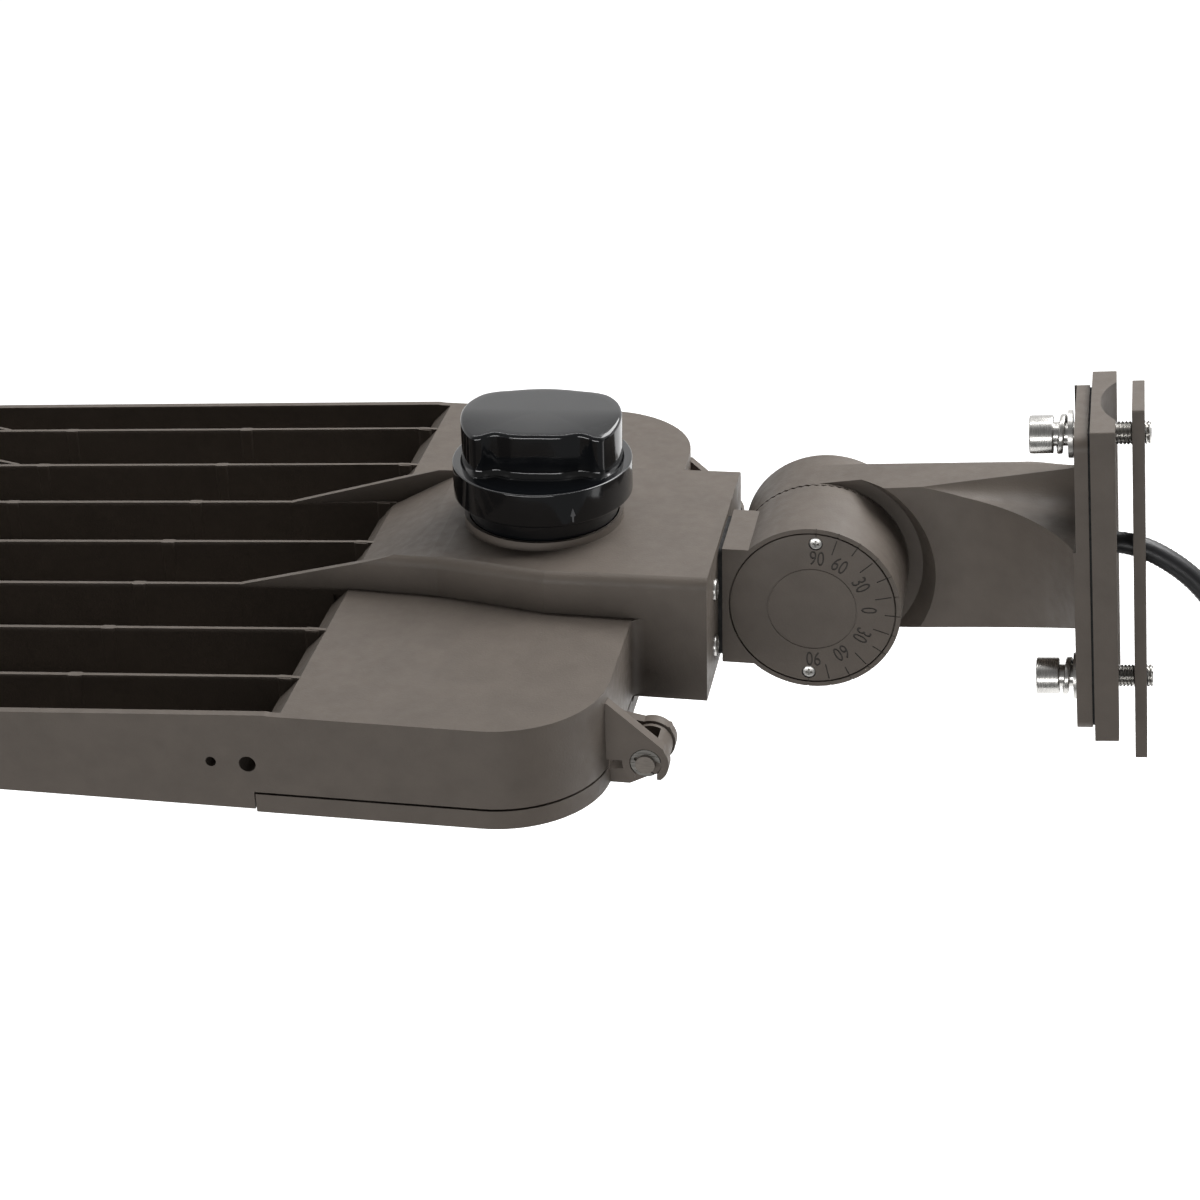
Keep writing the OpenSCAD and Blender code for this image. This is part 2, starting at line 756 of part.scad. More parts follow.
module ramps() {
  // The two long fins that rise to the neck's top
  for (m = [0, 1]) mirror([0, m, 0]) intersection() {
    up(deck_top - 1, neck_top + 1) neck_wall_plan(1);
    along_y(-half_w, half_w)
      polygon([[ramp_front, deck_top - 1], [ramp_front, top_line(ramp_front)],
        [neck_taper_front - 14, neck_top - 1.6], [neck_taper_front, neck_top],
        [neck_taper_rear, neck_top + 1], [neck_taper_rear, bay_ceiling],
        [slope_foot + 1, bay_ceiling], [slope_foot + 1, deck_top - 1]]);
    union() {
      neck_side(neck_taper_rear, neck_half, neck_taper_front, neck_front_half, 0, 0);
      intersection() {
        neck_side(neck_taper_front, neck_front_half, ramp_front, fin_pitch + ramp_t / 2, 0, 0);
        block([-big, 0, -neck_low], [neck_taper_front, half_w, big]);
      }
    }
  }
}

module neck_side(x0, y0, x1, y1, edge, inset) {
  // All that lies inside a line from (x0, y0) forward to (x1, y1), with a round top edge
  turn = atan2(y0 - y1, x0 - x1);
  translate([x0, y0, 0]) rotate([0, 0, turn])
    translate([-neck_rear - x0, 0, neck_top]) rotate([0, -neck_fall, 0])
      along_x(-big, 120) neck_half_section(edge - inset, inset);
}

module neck_form(inset) {
  // The tapered bar with round top edges, cut to the neck's length and to the slope at its front
  rear = -neck_rear - inset;
  intersection() {
    intersection_for (m = [0, 1]) mirror([0, m, 0]) intersection() {
      neck_side(neck_taper_rear, neck_half, -big, neck_half, 0, inset);
      neck_side(neck_taper_rear, neck_half, neck_taper_front, neck_front_half, 0, inset);
    }
    along_y(-half_w, half_w)
      polygon([[slope_foot + inset, -neck_low + inset], [slope_foot + inset, 0],
        [-bay_front - 1 + inset, bay_top - inset], [-170 + inset, 22.4 - inset],
        [-162 + inset / 2, 24.9 - inset], [-152, 26.1 - inset], [-142, neck_top - inset],
        [-100, neck_top + 9], [rear, neck_top + 9], [rear, -neck_low + inset]]);
  }
}

module neck_half_section(edge, inset) {
  r = max(neck_round - inset, 1);
  top = -inset;
  low = -neck_top - neck_low + inset;
  slab(edge - big, edge - r, low - 8, top);
  slab(edge - big, edge, low - 8, top - r);
  translate([edge - r, top - r]) circle(r);
}

module neck() {
  intersection() {
    union() {
      neck_form(0);
      // Small fillets where the neck leaves the bay's rear wall
      for (m = [0, 1]) mirror([0, m, 0]) difference() {
        block([-bay_rear - 1, neck_half - 1, -door_seam], [-bay_rear + 5, neck_half + 5, bay_top]);
        rod_z(-big, big, 5, -bay_rear + 5, neck_half + 5);
      }
    }
    union() {
      block([-big, -half_w, bay_ceiling], [0, half_w, big]);
      block([-bay_rear - wall, -half_w, -neck_low], [0, half_w, big]);
    }
  }
}

module ear(y0, y1, web_top) {
  // A hinge ear: a round eye on a web from the rear wall, open below the pin
  along_y(y0, y1) difference() {
    union() {
      polygon([[-bay_rear - 1.6, web_top], [-bay_rear, web_top], [-pin_back + 7.4, -pin_low + ear_r - 2.6],
        [-pin_back + ear_r, -pin_low + 0.6], [-bay_rear - 1.6, -pin_low + 0.6]]);
      translate([-pin_back, -pin_low]) circle(ear_r);
    }
    slab(-bay_rear, 0, -pin_low - 20, -pin_low - 7.4);
    translate([-pin_back, -pin_low - 12]) slab(-4.6, 4.6, -8, 8.6);
    translate([-pin_back, -pin_low]) circle(pin_d / 2 + running);
  }
}

module housing() {
  color(bronze) in_head() difference() {
    union() {
      difference() {
        head_block();
        fin_space();
        // Recess for the LED boards under the deck
        up(-seat - 1, -deck_low) intersection() {
          head_plan(wall);
          slab(front_x, -door_front - 3, -half_w, half_w);
        }
        // Bay, with a ledge round its mouth
        up(-door_seam + 3, bay_ceiling) intersection() {
          head_plan(wall);
          slab(bay_inner_front, 0, -half_w, half_w);
        }
        up(-seat - 1, -door_seam + 3 + e) intersection() {
          head_plan(wall + ledge);
          slab(bay_inner_front + 2, 0, -half_w, half_w);
        }
        block([-door_front, -half_w, -seat - 1], [0, half_w, -door_seam]);
      }
      fin_field();
      ramps();
      neck();
      for (s = [-1, 1]) {
        // Bosses behind the tapped and the plain holes in the two side walls
        for (x = hole_x)
          rod_y(min(s * (half_w - 1), s * (half_w - 14)), max(s * (half_w - 1), s * (half_w - 14)),
            side_tap_d, x, hole_z);
        ear(min(s * ear_y, s * hinge_out), max(s * ear_y, s * hinge_out), 2.6);
        ear(min(s * inner_ear_y, s * (inner_ear_y + ear_t)),
          max(s * inner_ear_y, s * (inner_ear_y + ear_t)), -13);
      }
      rod_z(bay_top, collar_top, collar_r, cap_x);
      // Driver and block bosses under the bay's roof
      for (p = driver_feet) rod_z(bay_ceiling - 8, bay_ceiling + 1, 4, p[0], p[1]);
    }
    neck_cavity();
    rod_z(0, collar_top + 1, socket_r - 3 + running, cap_x);
    rod_z(collar_top - 1.8, collar_top + 1, socket_r + 0.4, cap_x);
    // Window and screw holes for the knuckle bracket
    along_x(-neck_rear - wall - 1, -neck_rear + 1) {
      round_slab(-spigot_y - 0.2, spigot_y + 0.2, -spigot_z - 0.2, spigot_z + 0.2, 5);
      for (y = [-1, 1] * bracket_screw_y, z = bracket_screw_z) translate([y, z]) circle(2.5 + screw_gap);
    }
    for (s = [-1, 1]) {
      rod_y(min(s * (half_w + 1), s * (half_w - 12)), max(s * (half_w + 1), s * (half_w - 12)),
        side_hole_d / 2, hole_x[0], hole_z);
      rod_y(min(s * (half_w + 1), s * (half_w - 12)), max(s * (half_w + 1), s * (half_w - 12)),
        side_tap_d / 2, hole_x[1], hole_z);
      // Seats of the hinge clips in the outer ears
      rod_y(min(s * (hinge_out - 1.4), s * (hinge_out + 1)), max(s * (hinge_out - 1.4), s * (hinge_out + 1)),
        clip_r + 0.4, -pin_back, -pin_low);
      rod_z(-seat, deck_top - 1, 2.5 + running, latch_x, s * latch_y);
    }
    for (p = lens_screw_places) rod_z(-deck_low - 1, deck_top - 1, 1.5 + running, p[0], p[1]);
    for (p = driver_feet) rod_z(bay_ceiling - 9, bay_ceiling, 1.5 + running, p[0], p[1]);
  }
}

module neck_cavity() {
  intersection() {
    neck_form(wall);
    block([bay_inner_front + 4, -half_w, -neck_low + wall], [0, half_w, big]);
    union() {
      block([-big, -half_w, -deck_low + deck_t - 1], [0, half_w, big]);
      block([-bay_rear - wall, -half_w, -neck_low], [0, half_w, big]);
    }
  }
}

// Knuckle, head side

module knuckle_bracket() {
  color(bronze) in_head() difference() {
    union() {
      rod_y(dial_y, face_y - 4 + e, drum_r);
      translate([0, face_y, 0]) mirror([0, 1, 0]) serrated_ring(0);
      block([bracket_x, dial_y, bracket_low], [0, face_y - 5, bracket_top]);
      along_x(-neck_rear - wall - e, bracket_x + e) round_slab(-spigot_y, spigot_y, -spigot_z, spigot_z, 5);
      along_x(-neck_rear - wall - 5, -neck_rear - wall)
        round_slab(-bracket_screw_y - 7.5, bracket_screw_y + 7.5, -spigot_z - 2, spigot_z + 2, 4);
      rod_y(face_y - 5, face_y - 1.2, drum_r - tooth_ring + e);
      rod_y(face_y - 12, face_y, pivot_r + 6);
    }
    rod_y(dial_y - 1, dial_y + dial_t, dial_r + 0.6);
    rod_y(dial_y, pivot_head_y, 0.75 * pivot_d + 7);
    difference() {
      rod_y(face_y - 12, face_y + 1, wire_space_r);
      rod_y(face_y - 13, face_y + 2, pivot_r + 6);
    }
    rod_y(-big, big, pivot_r + running);
    // Wireway into the neck
    rod_x(-neck_rear - wall - 6, -drum_r / 2, 6.5, 12, 0);
    for (s = [-1, 1]) rotate([0, dial_turn, 0])
      rod_y(dial_y, dial_y + dial_t + 8, 1.5 + running, 0, s * dial_screw_r);
    for (y = [-1, 1] * bracket_screw_y, z = bracket_screw_z)
      rod_x(-neck_rear - wall - 6, -neck_rear - wall + 1, 2.5 + running, y, z);
    // Notches of the degree scale in the barrel's rim
    for (i = [0:12]) rotate([0, dial_turn + 15 * i, 0])
      translate([-0.3, dial_y - 1, dial_r]) cube([0.6, 1.5, 5]);
  }
}

module bracket_gasket() {
  color(black) in_head() along_x(-neck_rear, bracket_x) difference() {
    round_slab(dial_y + 1.5, face_y - 5.5, bracket_low + 1.5, bracket_top - 1.5, 4);
    round_slab(-spigot_y - 0.2, spigot_y + 6, -spigot_z - 0.2, spigot_z + 0.2, 5);
  }
}

module button_screw(r, len, head_r, head_h) {
  // Points down -Z, the head on top at z = 0
  translate([0, 0, -len]) cylinder(h = len, r = r);
  rotate_extrude() intersection() {
    translate([0, head_h - 1.25 * head_r]) circle(1.25 * head_r);
    slab(0, head_r, 0, head_h);
  }
}

module bracket_screws() {
  color(steel) in_head() for (y = [-1, 1] * bracket_screw_y, z = bracket_screw_z)
    translate([-neck_rear, y, z]) rotate([0, 90, 0]) button_screw(2.5, wall + 5, 4.6, 1.5);
}

module dial_cover() {
  color(bronze) in_head() rotate([0, dial_turn, 0]) difference() {
    rod_y(dial_y, dial_y + dial_t, dial_r);
    difference() {
      rod_y(dial_y - 1, dial_y + 0.4, 19.4);
      rod_y(dial_y - 2, dial_y + 1, 18.7);
    }
    for (s = [-1, 1]) {
      rod_y(dial_y - 1, dial_y + dial_t + 1, 1.5 + running, 0, s * dial_screw_r);
      rod_y(dial_y - 1, dial_y + 1.2, 3, 0, s * dial_screw_r);
    }
  }
}

module dial_screws() {
  color(steel) in_head() rotate([0, dial_turn, 0]) for (s = [-1, 1])
    translate([0, dial_y + 1.2, s * dial_screw_r]) rotate([90, 0, 0]) button_screw(1.5, 8, 2.9, 1.3);
}

// Twist-lock cap and its receptacle

skirt_low = cap_rim - skirt_h;
joint_z = 37;
blade_r = 15;
grip_r = 35;
shoulder_r = 7;
shoulder_y = -14.8;
waist_y = -18.4;
waist_r = 5;
waist_slant = 45;
grip_back = 28.9;
bow_r = 47.8;
grip_edge = 1.5;
grip_steps = 3;
back_r = 14;
blade_arc = [40, 32, 32];
blade_at = [90, 210, 330];

module on_cap() {
  in_head() translate([cap_x, 0, 0]) children();
}

module wedge_ring(r0, r1, z0, z1, a0, a1) {
  rotate([0, 0, a0]) translate([0, 0, z0]) rotate_extrude(angle = a1 - a0) slab(r0, r1, 0, z1 - z0);
}

module receptacle() {
  color(black) on_cap() difference() {
    union() {
      rod_z(collar_top - 1.8, joint_z, socket_r);
      rod_z(collar_top - 9, collar_top - 1.8 + e, socket_r - 3);
    }
    rod_z(collar_top - 10, joint_z - 6, socket_r - 6);
    rod_z(joint_z - 1, joint_z + 1, socket_r - 3);
    for (i = [0:2]) wedge_ring(blade_r - 1.4, blade_r + 1.4, joint_z - 8, joint_z,
      blade_at[i] + cap_turn - blade_arc[i] / 2 - 3,
      blade_at[i] + cap_turn + blade_arc[i] / 2 + 3 + cap_unlock);
  }
}

module receptacle_contacts() {
  // Three spring contacts under the slots, each on a tab of the receptacle
  color([0.75, 0.6, 0.35]) on_cap() for (i = [0:2])
    wedge_ring(blade_r + 2.2, blade_r + 3.4, joint_z - 14, joint_z - 6,
      blade_at[i] + cap_turn - 12, blade_at[i] + cap_turn + 12);
}

// Points on an arc round c, from angle a to angle b
function arc(c, r, a, b, n) = [for (i = [0:n]) let (t = a + (b - a) * i / n) c + r * [cos(t), sin(t)]];

module grip_plan() {
  // Round ends, a bowed back with round corners, and a waist in front between two shoulders.
  // Every stretch is an arc or a line that touches the next one
  shoulder = [sqrt(pow(grip_r - shoulder_r, 2) - pow(shoulder_y, 2)), shoulder_y];
  bend_y = waist_y - waist_r;
  rise = (shoulder_y - bend_y) * cos(waist_slant);
  bend = [shoulder[0] - (shoulder_r + waist_r - rise) / sin(waist_slant), bend_y];
  bow_y = grip_back - bow_r;
  near = grip_r - back_r;
  reach = bow_r - back_r;
  corner_y = (near * near - reach * reach + bow_y * bow_y) / (2 * bow_y);
  corner = [sqrt(near * near - corner_y * corner_y), corner_y];
  side_start = atan2(shoulder_y, shoulder[0]);
  side_end = atan2(corner_y, corner[0]);
  back_start = atan2(corner_y - bow_y, corner[0]);
  half = concat(arc(bend, waist_r, 90, 90 - waist_slant, 4),
    arc(shoulder, shoulder_r, -90 - waist_slant, side_start, 8),
    [for (i = [1:8]) arc([0, 0], grip_r, side_start, side_end, 8)[i]],
    [for (i = [1:5]) arc(corner, back_r, side_end, back_start, 5)[i]],
    [for (i = [1:5]) arc([0, bow_y], bow_r, back_start, 90, 6)[i]]);
  last = len(half) - 1;
  polygon(concat(half, [[0, grip_back]], [for (i = [0:last]) [-half[last - i][0], half[last - i][1]]]));
}

module shorting_cap() {
  color(black) on_cap() rotate([0, 0, cap_turn]) {
    difference() {
      union() {
        rotate_extrude()
          polygon([[0, joint_z + 3], [socket_r - 3, joint_z + 3], [socket_r - 3, joint_z + gap],
            [socket_r, joint_z + gap], [socket_r + 1, joint_z + gap + 0.7], [cap_r - 0.6, skirt_low - 0.6],
            [cap_r, skirt_low + 0.6], [cap_r, cap_rim - 0.8], [cap_r - 0.8, cap_rim],
            [cap_r - 2, cap_rim], [cap_r - 2.6, cap_rim - 0.8], [0, cap_rim - 0.8]]);
        // The grip's top edge, rounded in small steps
        for (k = [0:grip_steps]) let (a = 90 * k / grip_steps)
          up(cap_rim - 1, cap_rim + grip_h - grip_edge * (1 - sin(a)))
            scale(1 - grip_edge * (1 - cos(a)) / grip_r) grip_plan();
      }
      up(joint_z, cap_rim + grip_h - 3) intersection() {
        scale(0.88) grip_plan();
        circle(socket_r - 3);
      }
    }
    // Web that carries the blades
    difference() {
      rod_z(joint_z + 3, joint_z + 5.5, socket_r - 2.9);
      for (i = [0:2]) wedge_ring(blade_r - 1, blade_r + 1, joint_z, joint_z + 9,
        blade_at[i] - blade_arc[i] / 2, blade_at[i] + blade_arc[i] / 2);
    }
  }
}

module cap_gasket() {
  color([0.15, 0.15, 0.15]) on_cap() difference() {
    rod_z(joint_z + gap, joint_z + 3, socket_r - 3);
    rod_z(joint_z - 1, joint_z + 4, socket_r - 6);
  }
}

module cap_blades() {
  color([0.8, 0.65, 0.35]) on_cap() for (i = [0:2])
    wedge_ring(blade_r - 0.9, blade_r + 0.9, joint_z - 7, joint_z + 6,
      blade_at[i] + cap_turn - blade_arc[i] / 2 + 1, blade_at[i] + cap_turn + blade_arc[i] / 2 - 1);
}

// LED modules

lens_w = head_w - 2 * lens_side;
lens_seat = 11;
screw_inset = 6;
board_low = -deck_low - board_t;
lens_top = board_low - 1.4;
lens_low = lens_top - lens_t;
lens_screw_places = [for (x = module_x, u = [screw_inset, lens_l - screw_inset], v = [-1, 0, 1])
  [x + u, v * (lens_w / 2 - screw_inset)]];

module each_module() {
  for (x = module_x) translate([x, 0, 0]) children();
}

module led_boards() {
  color([0.9, 0.9, 0.88]) in_head() each_module() {
    up(board_low, -deck_low) round_slab(lens_seat, lens_l - lens_seat,
      -lens_w / 2 + lens_seat, lens_w / 2 - lens_seat, 3);
    for (p = lens_spots) translate([p[0] - 1.7, p[1] - 1.7, board_low - 0.8]) cube([3.4, 3.4, 0.8 + e]);
  }
}

lens_spots = [for (i = [0:lens_rows - 1], j = [0:lens_cols - 1])
  [lens_l * (i + 0.5) / lens_rows + (i - (lens_rows - 1) / 2) * -4,
    (j - (lens_cols - 1) / 2) * (lens_w - 2 * lens_seat - 4) / lens_cols]];

module lens_gaskets() {
  color([0.85, 0.85, 0.85]) in_head() each_module() up(lens_top, -deck_low) difference() {
    round_slab(1, lens_l - 1, -lens_w / 2 + 1, lens_w / 2 - 1, 5);
    round_slab(lens_seat - 0.5, lens_l - lens_seat + 0.5, -lens_w / 2 + lens_seat - 0.5,
      lens_w / 2 - lens_seat + 0.5, 3);
    for (u = [screw_inset, lens_l - screw_inset], v = [-1, 0, 1])
      translate([u, v * (lens_w / 2 - screw_inset)]) circle(1.5 + screw_gap);
  }
}

module lens_plates() {
  ball = (pow(lens_r, 2) + pow(lens_h, 2)) / (2 * lens_h);
  color([0.85, 0.9, 0.95, 0.6]) in_head() each_module() {
    up(lens_low, lens_top) difference() {
      round_slab(0, lens_l, -lens_w / 2, lens_w / 2, 6);
      for (u = [screw_inset, lens_l - screw_inset], v = [-1, 0, 1])
      translate([u, v * (lens_w / 2 - screw_inset)]) circle(1.5 + screw_gap);
    }
    for (p = lens_spots) translate([p[0], p[1], lens_low]) rotate_extrude()
      intersection() {
        translate([0, ball - lens_h]) circle(ball);
        slab(0, lens_r + 1, -lens_h - 1, e);
      }
  }
}

module lens_screws() {
  color(steel) in_head() for (p = lens_screw_places)
    translate([p[0], p[1], lens_low]) rotate([180, 0, 0])
      button_screw(1.5, lens_t + board_t + 1.4 + deck_t - 2, 3, 1.6);
}

// Driver bay contents

driver_low = bay_ceiling - 8 - driver_h;
driver_feet = [for (s = [-1, 1], u = [-1, 1])
  [driver_x + u * (driver_w / 2 - 8), driver_y + s * (driver_l / 2 + 5)]];

module led_driver() {
  color([0.75, 0.75, 0.73]) in_head() difference() {
    union() {
      translate([driver_x, driver_y, 0]) {
        along_y(-driver_l / 2, driver_l / 2)
          round_slab(-driver_w / 2, driver_w / 2, driver_low, bay_ceiling - 8, 3);
        up(bay_ceiling - 9.5, bay_ceiling - 8)
          round_slab(-driver_w / 2 + 1, driver_w / 2 - 1, -driver_l / 2 - 11, driver_l / 2 + 11, 3);
      }
    }
    for (p = driver_feet) rod_z(-big, big, 1.5 + screw_gap, p[0], p[1]);
  }
}

module driver_screws() {
  color(steel) in_head() for (p = driver_feet)
    translate([p[0], p[1], bay_ceiling - 9.5]) rotate([180, 0, 0]) button_screw(1.5, 8, 3, 1.8);
}

surge_x = -152;
surge_y = -128;

module surge_protector() {
  color([0.12, 0.2, 0.45]) in_head() translate([surge_x, surge_y, 0])
    up(bay_ceiling - 22, bay_ceiling) round_slab(-24, 24, -14, 14, 3);
}

block_x = -96;
block_y = -82;

module terminal_block() {
  color([0.9, 0.9, 0.85]) in_head() translate([block_x, block_y, 0]) difference() {
    up(bay_ceiling - 14, bay_ceiling) round_slab(-9, 9, -17, 17, 1.5);
    for (v = [-1, 0, 1]) {
      rod_z(bay_ceiling - 15, bay_ceiling - 7, 2.6, 0, v * 10.5);
      rod_x(-10, -4, 1.8, v * 10.5, bay_ceiling - 9);
      rod_x(4, 10, 1.8, v * 10.5, bay_ceiling - 9);
    }
  }
}

module bay_wires() {
  z = bay_ceiling - 9;
  end_y = driver_y - driver_l / 2;
  color([0.15, 0.15, 0.15]) in_head() for (i = [-1, 0, 1])
    let (x = driver_x - 6 + 4.5 * i, y = end_y - 14 + 4.5 * i)
      tube(smooth([[block_x - 4.5, block_y + 10.5 * i, z], [block_x - 14, block_y + 10.5 * i, z],
        [block_x - 24, block_y + 7 * i, z - 4], [x + 12, y, z - 8], [x + 2.5, y + 1, z - 9.5],
        [x, y + 5, z - 10], [x, end_y, z - 10]], 3), wire_d / 2, 8);
}

// Door and hinges

module hinge_pins() {
  long = hinge_out - inner_ear_y;
  color(steel) in_head() for (m = [0, 1]) mirror([0, m, 0]) translate([-pin_back, inner_ear_y - 2, -pin_low])
    rotate([-90, 0, 0]) difference() {
      union() {
        cylinder(h = long + 3.4, r = pin_d / 2);
        cylinder(h = 2 - e, r = pin_d / 2 + 1.6);
      }
      translate([0, 0, long + 0.9]) difference() {
        cylinder(h = 1, r = pin_d);
        translate([0, 0, -1]) cylinder(h = 3, r = pin_d / 2 - 1);
      }
    }
}

module hinge_clips() {
  color(steel) in_head() for (m = [0, 1]) mirror([0, m, 0])
    translate([-pin_back, hinge_out - 1, -pin_low]) rotate([-90, 0, 0]) linear_extrude(0.8) difference() {
      circle(clip_r);
      circle(pin_d / 2 - 0.95);
      rotate(25) slab(0, 8, -pin_d / 2 + 1, pin_d / 2 - 1);
      for (a = [115, 205, 295]) rotate(a - 90) translate([4.2, 0]) circle(0.9);
    }
}

module driver_door() {
  rib_in = wall + 1;
  color(bronze) in_head() difference() {
    union() {
      up(-door_low, -door_low + door_t) door_plan(0);
      up(-door_low, -door_seam - seam_gap) difference() {
        door_plan(0);
        door_plan(door_rim_t);
      }
      up(-door_low, -door_seam - 3) difference() {
        door_plan(rib_in);
        door_plan(rib_in + 4);
      }
      for (s = [-1, 1]) {
        rod_z(-door_low, -door_seam - 0.4, 6, latch_x + 1, s * latch_y);
        door_barrel(s);
      }
      // Ribs across the panel
      for (y = [-90, -30, 30, 90])
        block([-door_front + 12, y - 1, -door_low], [door_rear - 12, y + 1, -door_low + door_t + 2]);
    }
    // The rim stays clear of the neck's underside
    block([door_rear - 12, -neck_half - 4, -neck_low - 1.2], [door_rear + 1, neck_half + 4, 0]);
    for (s = [-1, 1]) {
      rod_z(-door_low - 1, 0, 2.5 + screw_gap, latch_x, s * latch_y);
      rod_z(-door_low - 1, -door_low + 3.2, 5, latch_x, s * latch_y);
    }
  }
}

module door_plan(inset) {
  intersection() {
    head_plan(inset, -door_front - corner_r);
    slab(-door_front + 0.5 + inset, 0, -half_w, half_w);
  }
}

module door_barrel(s) {
  y0 = inner_ear_y + ear_t + gap;
  y1 = y0 + barrel_l;
  mirror([0, s > 0 ? 0 : 1, 0]) difference() {
    along_y(y0, y1) union() {
      translate([-pin_back, -pin_low]) circle(8.6);
      polygon([[door_rear - 1, -door_low], [door_rear + 8, -door_low], [-pin_back + 6, -pin_low - 6],
        [-pin_back - 6, -pin_low - 6], [door_rear - 1, -door_seam - 3]]);
    }
    rod_y(y0 - 1, y1 + 1, pin_d / 2 + running, -pin_back, -pin_low);
    // Window in the top of the barrel
    block([-pin_back - 8, y0 + 2, -pin_low + 2.4], [-pin_back + 4, y1 - 1.5, 0]);
  }
}

module door_gasket() {
  color([0.25, 0.25, 0.25]) in_head() difference() {
    up(-door_seam - 3, -door_seam - 0.15) difference() {
      door_plan(wall + 1);
      door_plan(wall + 5);
    }
    block([door_rear - 12, -neck_half - 4, -door_seam - 4], [door_rear + 1, neck_half + 4, 0]);
    for (s = [-1, 1]) rod_z(-door_low, 0, 6 + gap, latch_x + 1, s * latch_y);
  }
}

module door_screws() {
  color(steel) in_head() for (s = [-1, 1]) translate([latch_x, s * latch_y, -door_low + 3.2])
    rotate([180, 0, 0]) button_screw(2.5, 10, 4.6, 2.8);
}

arm_casting();
flange_gasket();
pole_plate();
backing_plate();
pole_screws();
spring_washers();
flat_washers();
cord_grommet();
supply_cord();
cord_coil();
coil_tie();
cord_leads();
pivot_bolt();
pivot_washer();
pivot_nut();
housing();
knuckle_bracket();
bracket_gasket();
bracket_screws();
dial_cover();
dial_screws();
receptacle();
receptacle_contacts();
led_boards();
lens_gaskets();
lens_plates();
lens_screws();
led_driver();
driver_screws();
surge_protector();
terminal_block();
bay_wires();
hinge_pins();
hinge_clips();
driver_door();
door_gasket();
door_screws();
shorting_cap();
cap_gasket();
cap_blades();
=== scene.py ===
"""Shoebox area light on a pole arm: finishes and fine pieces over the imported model.

Every piece is drawn in millimetres in the frame of the body that carries it, and then
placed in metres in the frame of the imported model.
"""
import json
import math

import bmesh
import bpy
from mathutils import Matrix, Vector


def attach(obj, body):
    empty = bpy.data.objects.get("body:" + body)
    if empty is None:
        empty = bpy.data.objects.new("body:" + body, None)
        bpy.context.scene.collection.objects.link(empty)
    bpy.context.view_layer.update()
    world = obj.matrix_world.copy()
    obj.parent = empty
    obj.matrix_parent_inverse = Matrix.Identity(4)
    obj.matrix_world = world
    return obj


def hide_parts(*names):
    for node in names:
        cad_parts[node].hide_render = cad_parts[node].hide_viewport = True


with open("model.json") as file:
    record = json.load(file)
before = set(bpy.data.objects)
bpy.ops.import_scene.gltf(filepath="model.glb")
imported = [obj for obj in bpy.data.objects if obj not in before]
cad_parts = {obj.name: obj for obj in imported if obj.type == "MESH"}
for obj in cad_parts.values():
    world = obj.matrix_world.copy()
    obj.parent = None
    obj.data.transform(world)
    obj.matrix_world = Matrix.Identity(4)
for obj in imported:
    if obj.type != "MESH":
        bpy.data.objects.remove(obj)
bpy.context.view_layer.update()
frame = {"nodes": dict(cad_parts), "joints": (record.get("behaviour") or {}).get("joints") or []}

bl_info = {
    "name": "Shoebox area light",
    "version": (1, 0, 0),
    "blender": (4, 5, 0),
    "location": "3D Viewport > Sidebar > Area light",
    "description": "Finishes and fine pieces of an outdoor area light on a pole arm",
    "category": "Object",
}

JOINTS = {joint["name"]: joint for joint in frame["joints"]}
KNUCKLE = Vector(JOINTS["head_tilt"]["pos_m"])
CAP_AXIS = JOINTS["cap_twist"]["axis"]
HEAD_TILT = math.atan2(CAP_AXIS[0], CAP_AXIS[2])

# The arm's frame starts between the pole screws, and the head's in the knuckle, with the
# cap's axis as its Z
ARM = Matrix.Scale(0.001, 4)
HEAD = Matrix.Translation(KNUCKLE) @ Matrix.Rotation(HEAD_TILT, 4, "Y") @ ARM

# Places on the head, in degrees and in millimetres from the knuckle: the cap's axis towards
# the head's front, the dial's screws and the front ends of the two lens modules
CAP_TURN = 5.4
DIAL_TURN = 2
CAP_AHEAD = 120.2
DIAL_SCREW_R = 31.1
LENS_FRONTS = (-368.0, -518.0)

# Points this near the axis close the end of a turned piece
AXIS_R = 0.01


# Sizes and colours


class CoatColours(bpy.types.PropertyGroup):
    """Colours of the painted castings, and the painted shade in their engraved lines"""

    coat: bpy.props.FloatVectorProperty(
        name="Coat", description="Dark bronze powder coat on the castings",
        default=(0.122, 0.103, 0.087), size=3, min=0, max=1, subtype="COLOR")
    # Painted shade: a darker coat for the engraved ticks and numerals, standing in for the shade
    # inside the cuts
    shade: bpy.props.FloatVectorProperty(
        name="Engraving", description="Powder coat in the engraved lines",
        default=(0.042, 0.036, 0.031), size=3, min=0, max=1, subtype="COLOR")
    grain: bpy.props.FloatProperty(
        name="Grain", description="Distance from grain to grain of the powder coat",
        default=0.0009, min=0.0002, max=0.005, precision=5, subtype="DISTANCE", unit="LENGTH")


class MetalColours(bpy.types.PropertyGroup):
    """Colours of the fasteners and contacts"""

    steel: bpy.props.FloatVectorProperty(
        name="Stainless steel", description="Screws, washers and bolts",
        default=(0.50, 0.49, 0.47), size=3, min=0, max=1, subtype="COLOR")
    dark: bpy.props.FloatVectorProperty(
        name="Plated steel", description="Hinge pins",
        default=(0.20, 0.18, 0.16), size=3, min=0, max=1, subtype="COLOR")
    brass: bpy.props.FloatVectorProperty(
        name="Brass", description="Contacts and blades",
        default=(0.72, 0.52, 0.25), size=3, min=0, max=1, subtype="COLOR")


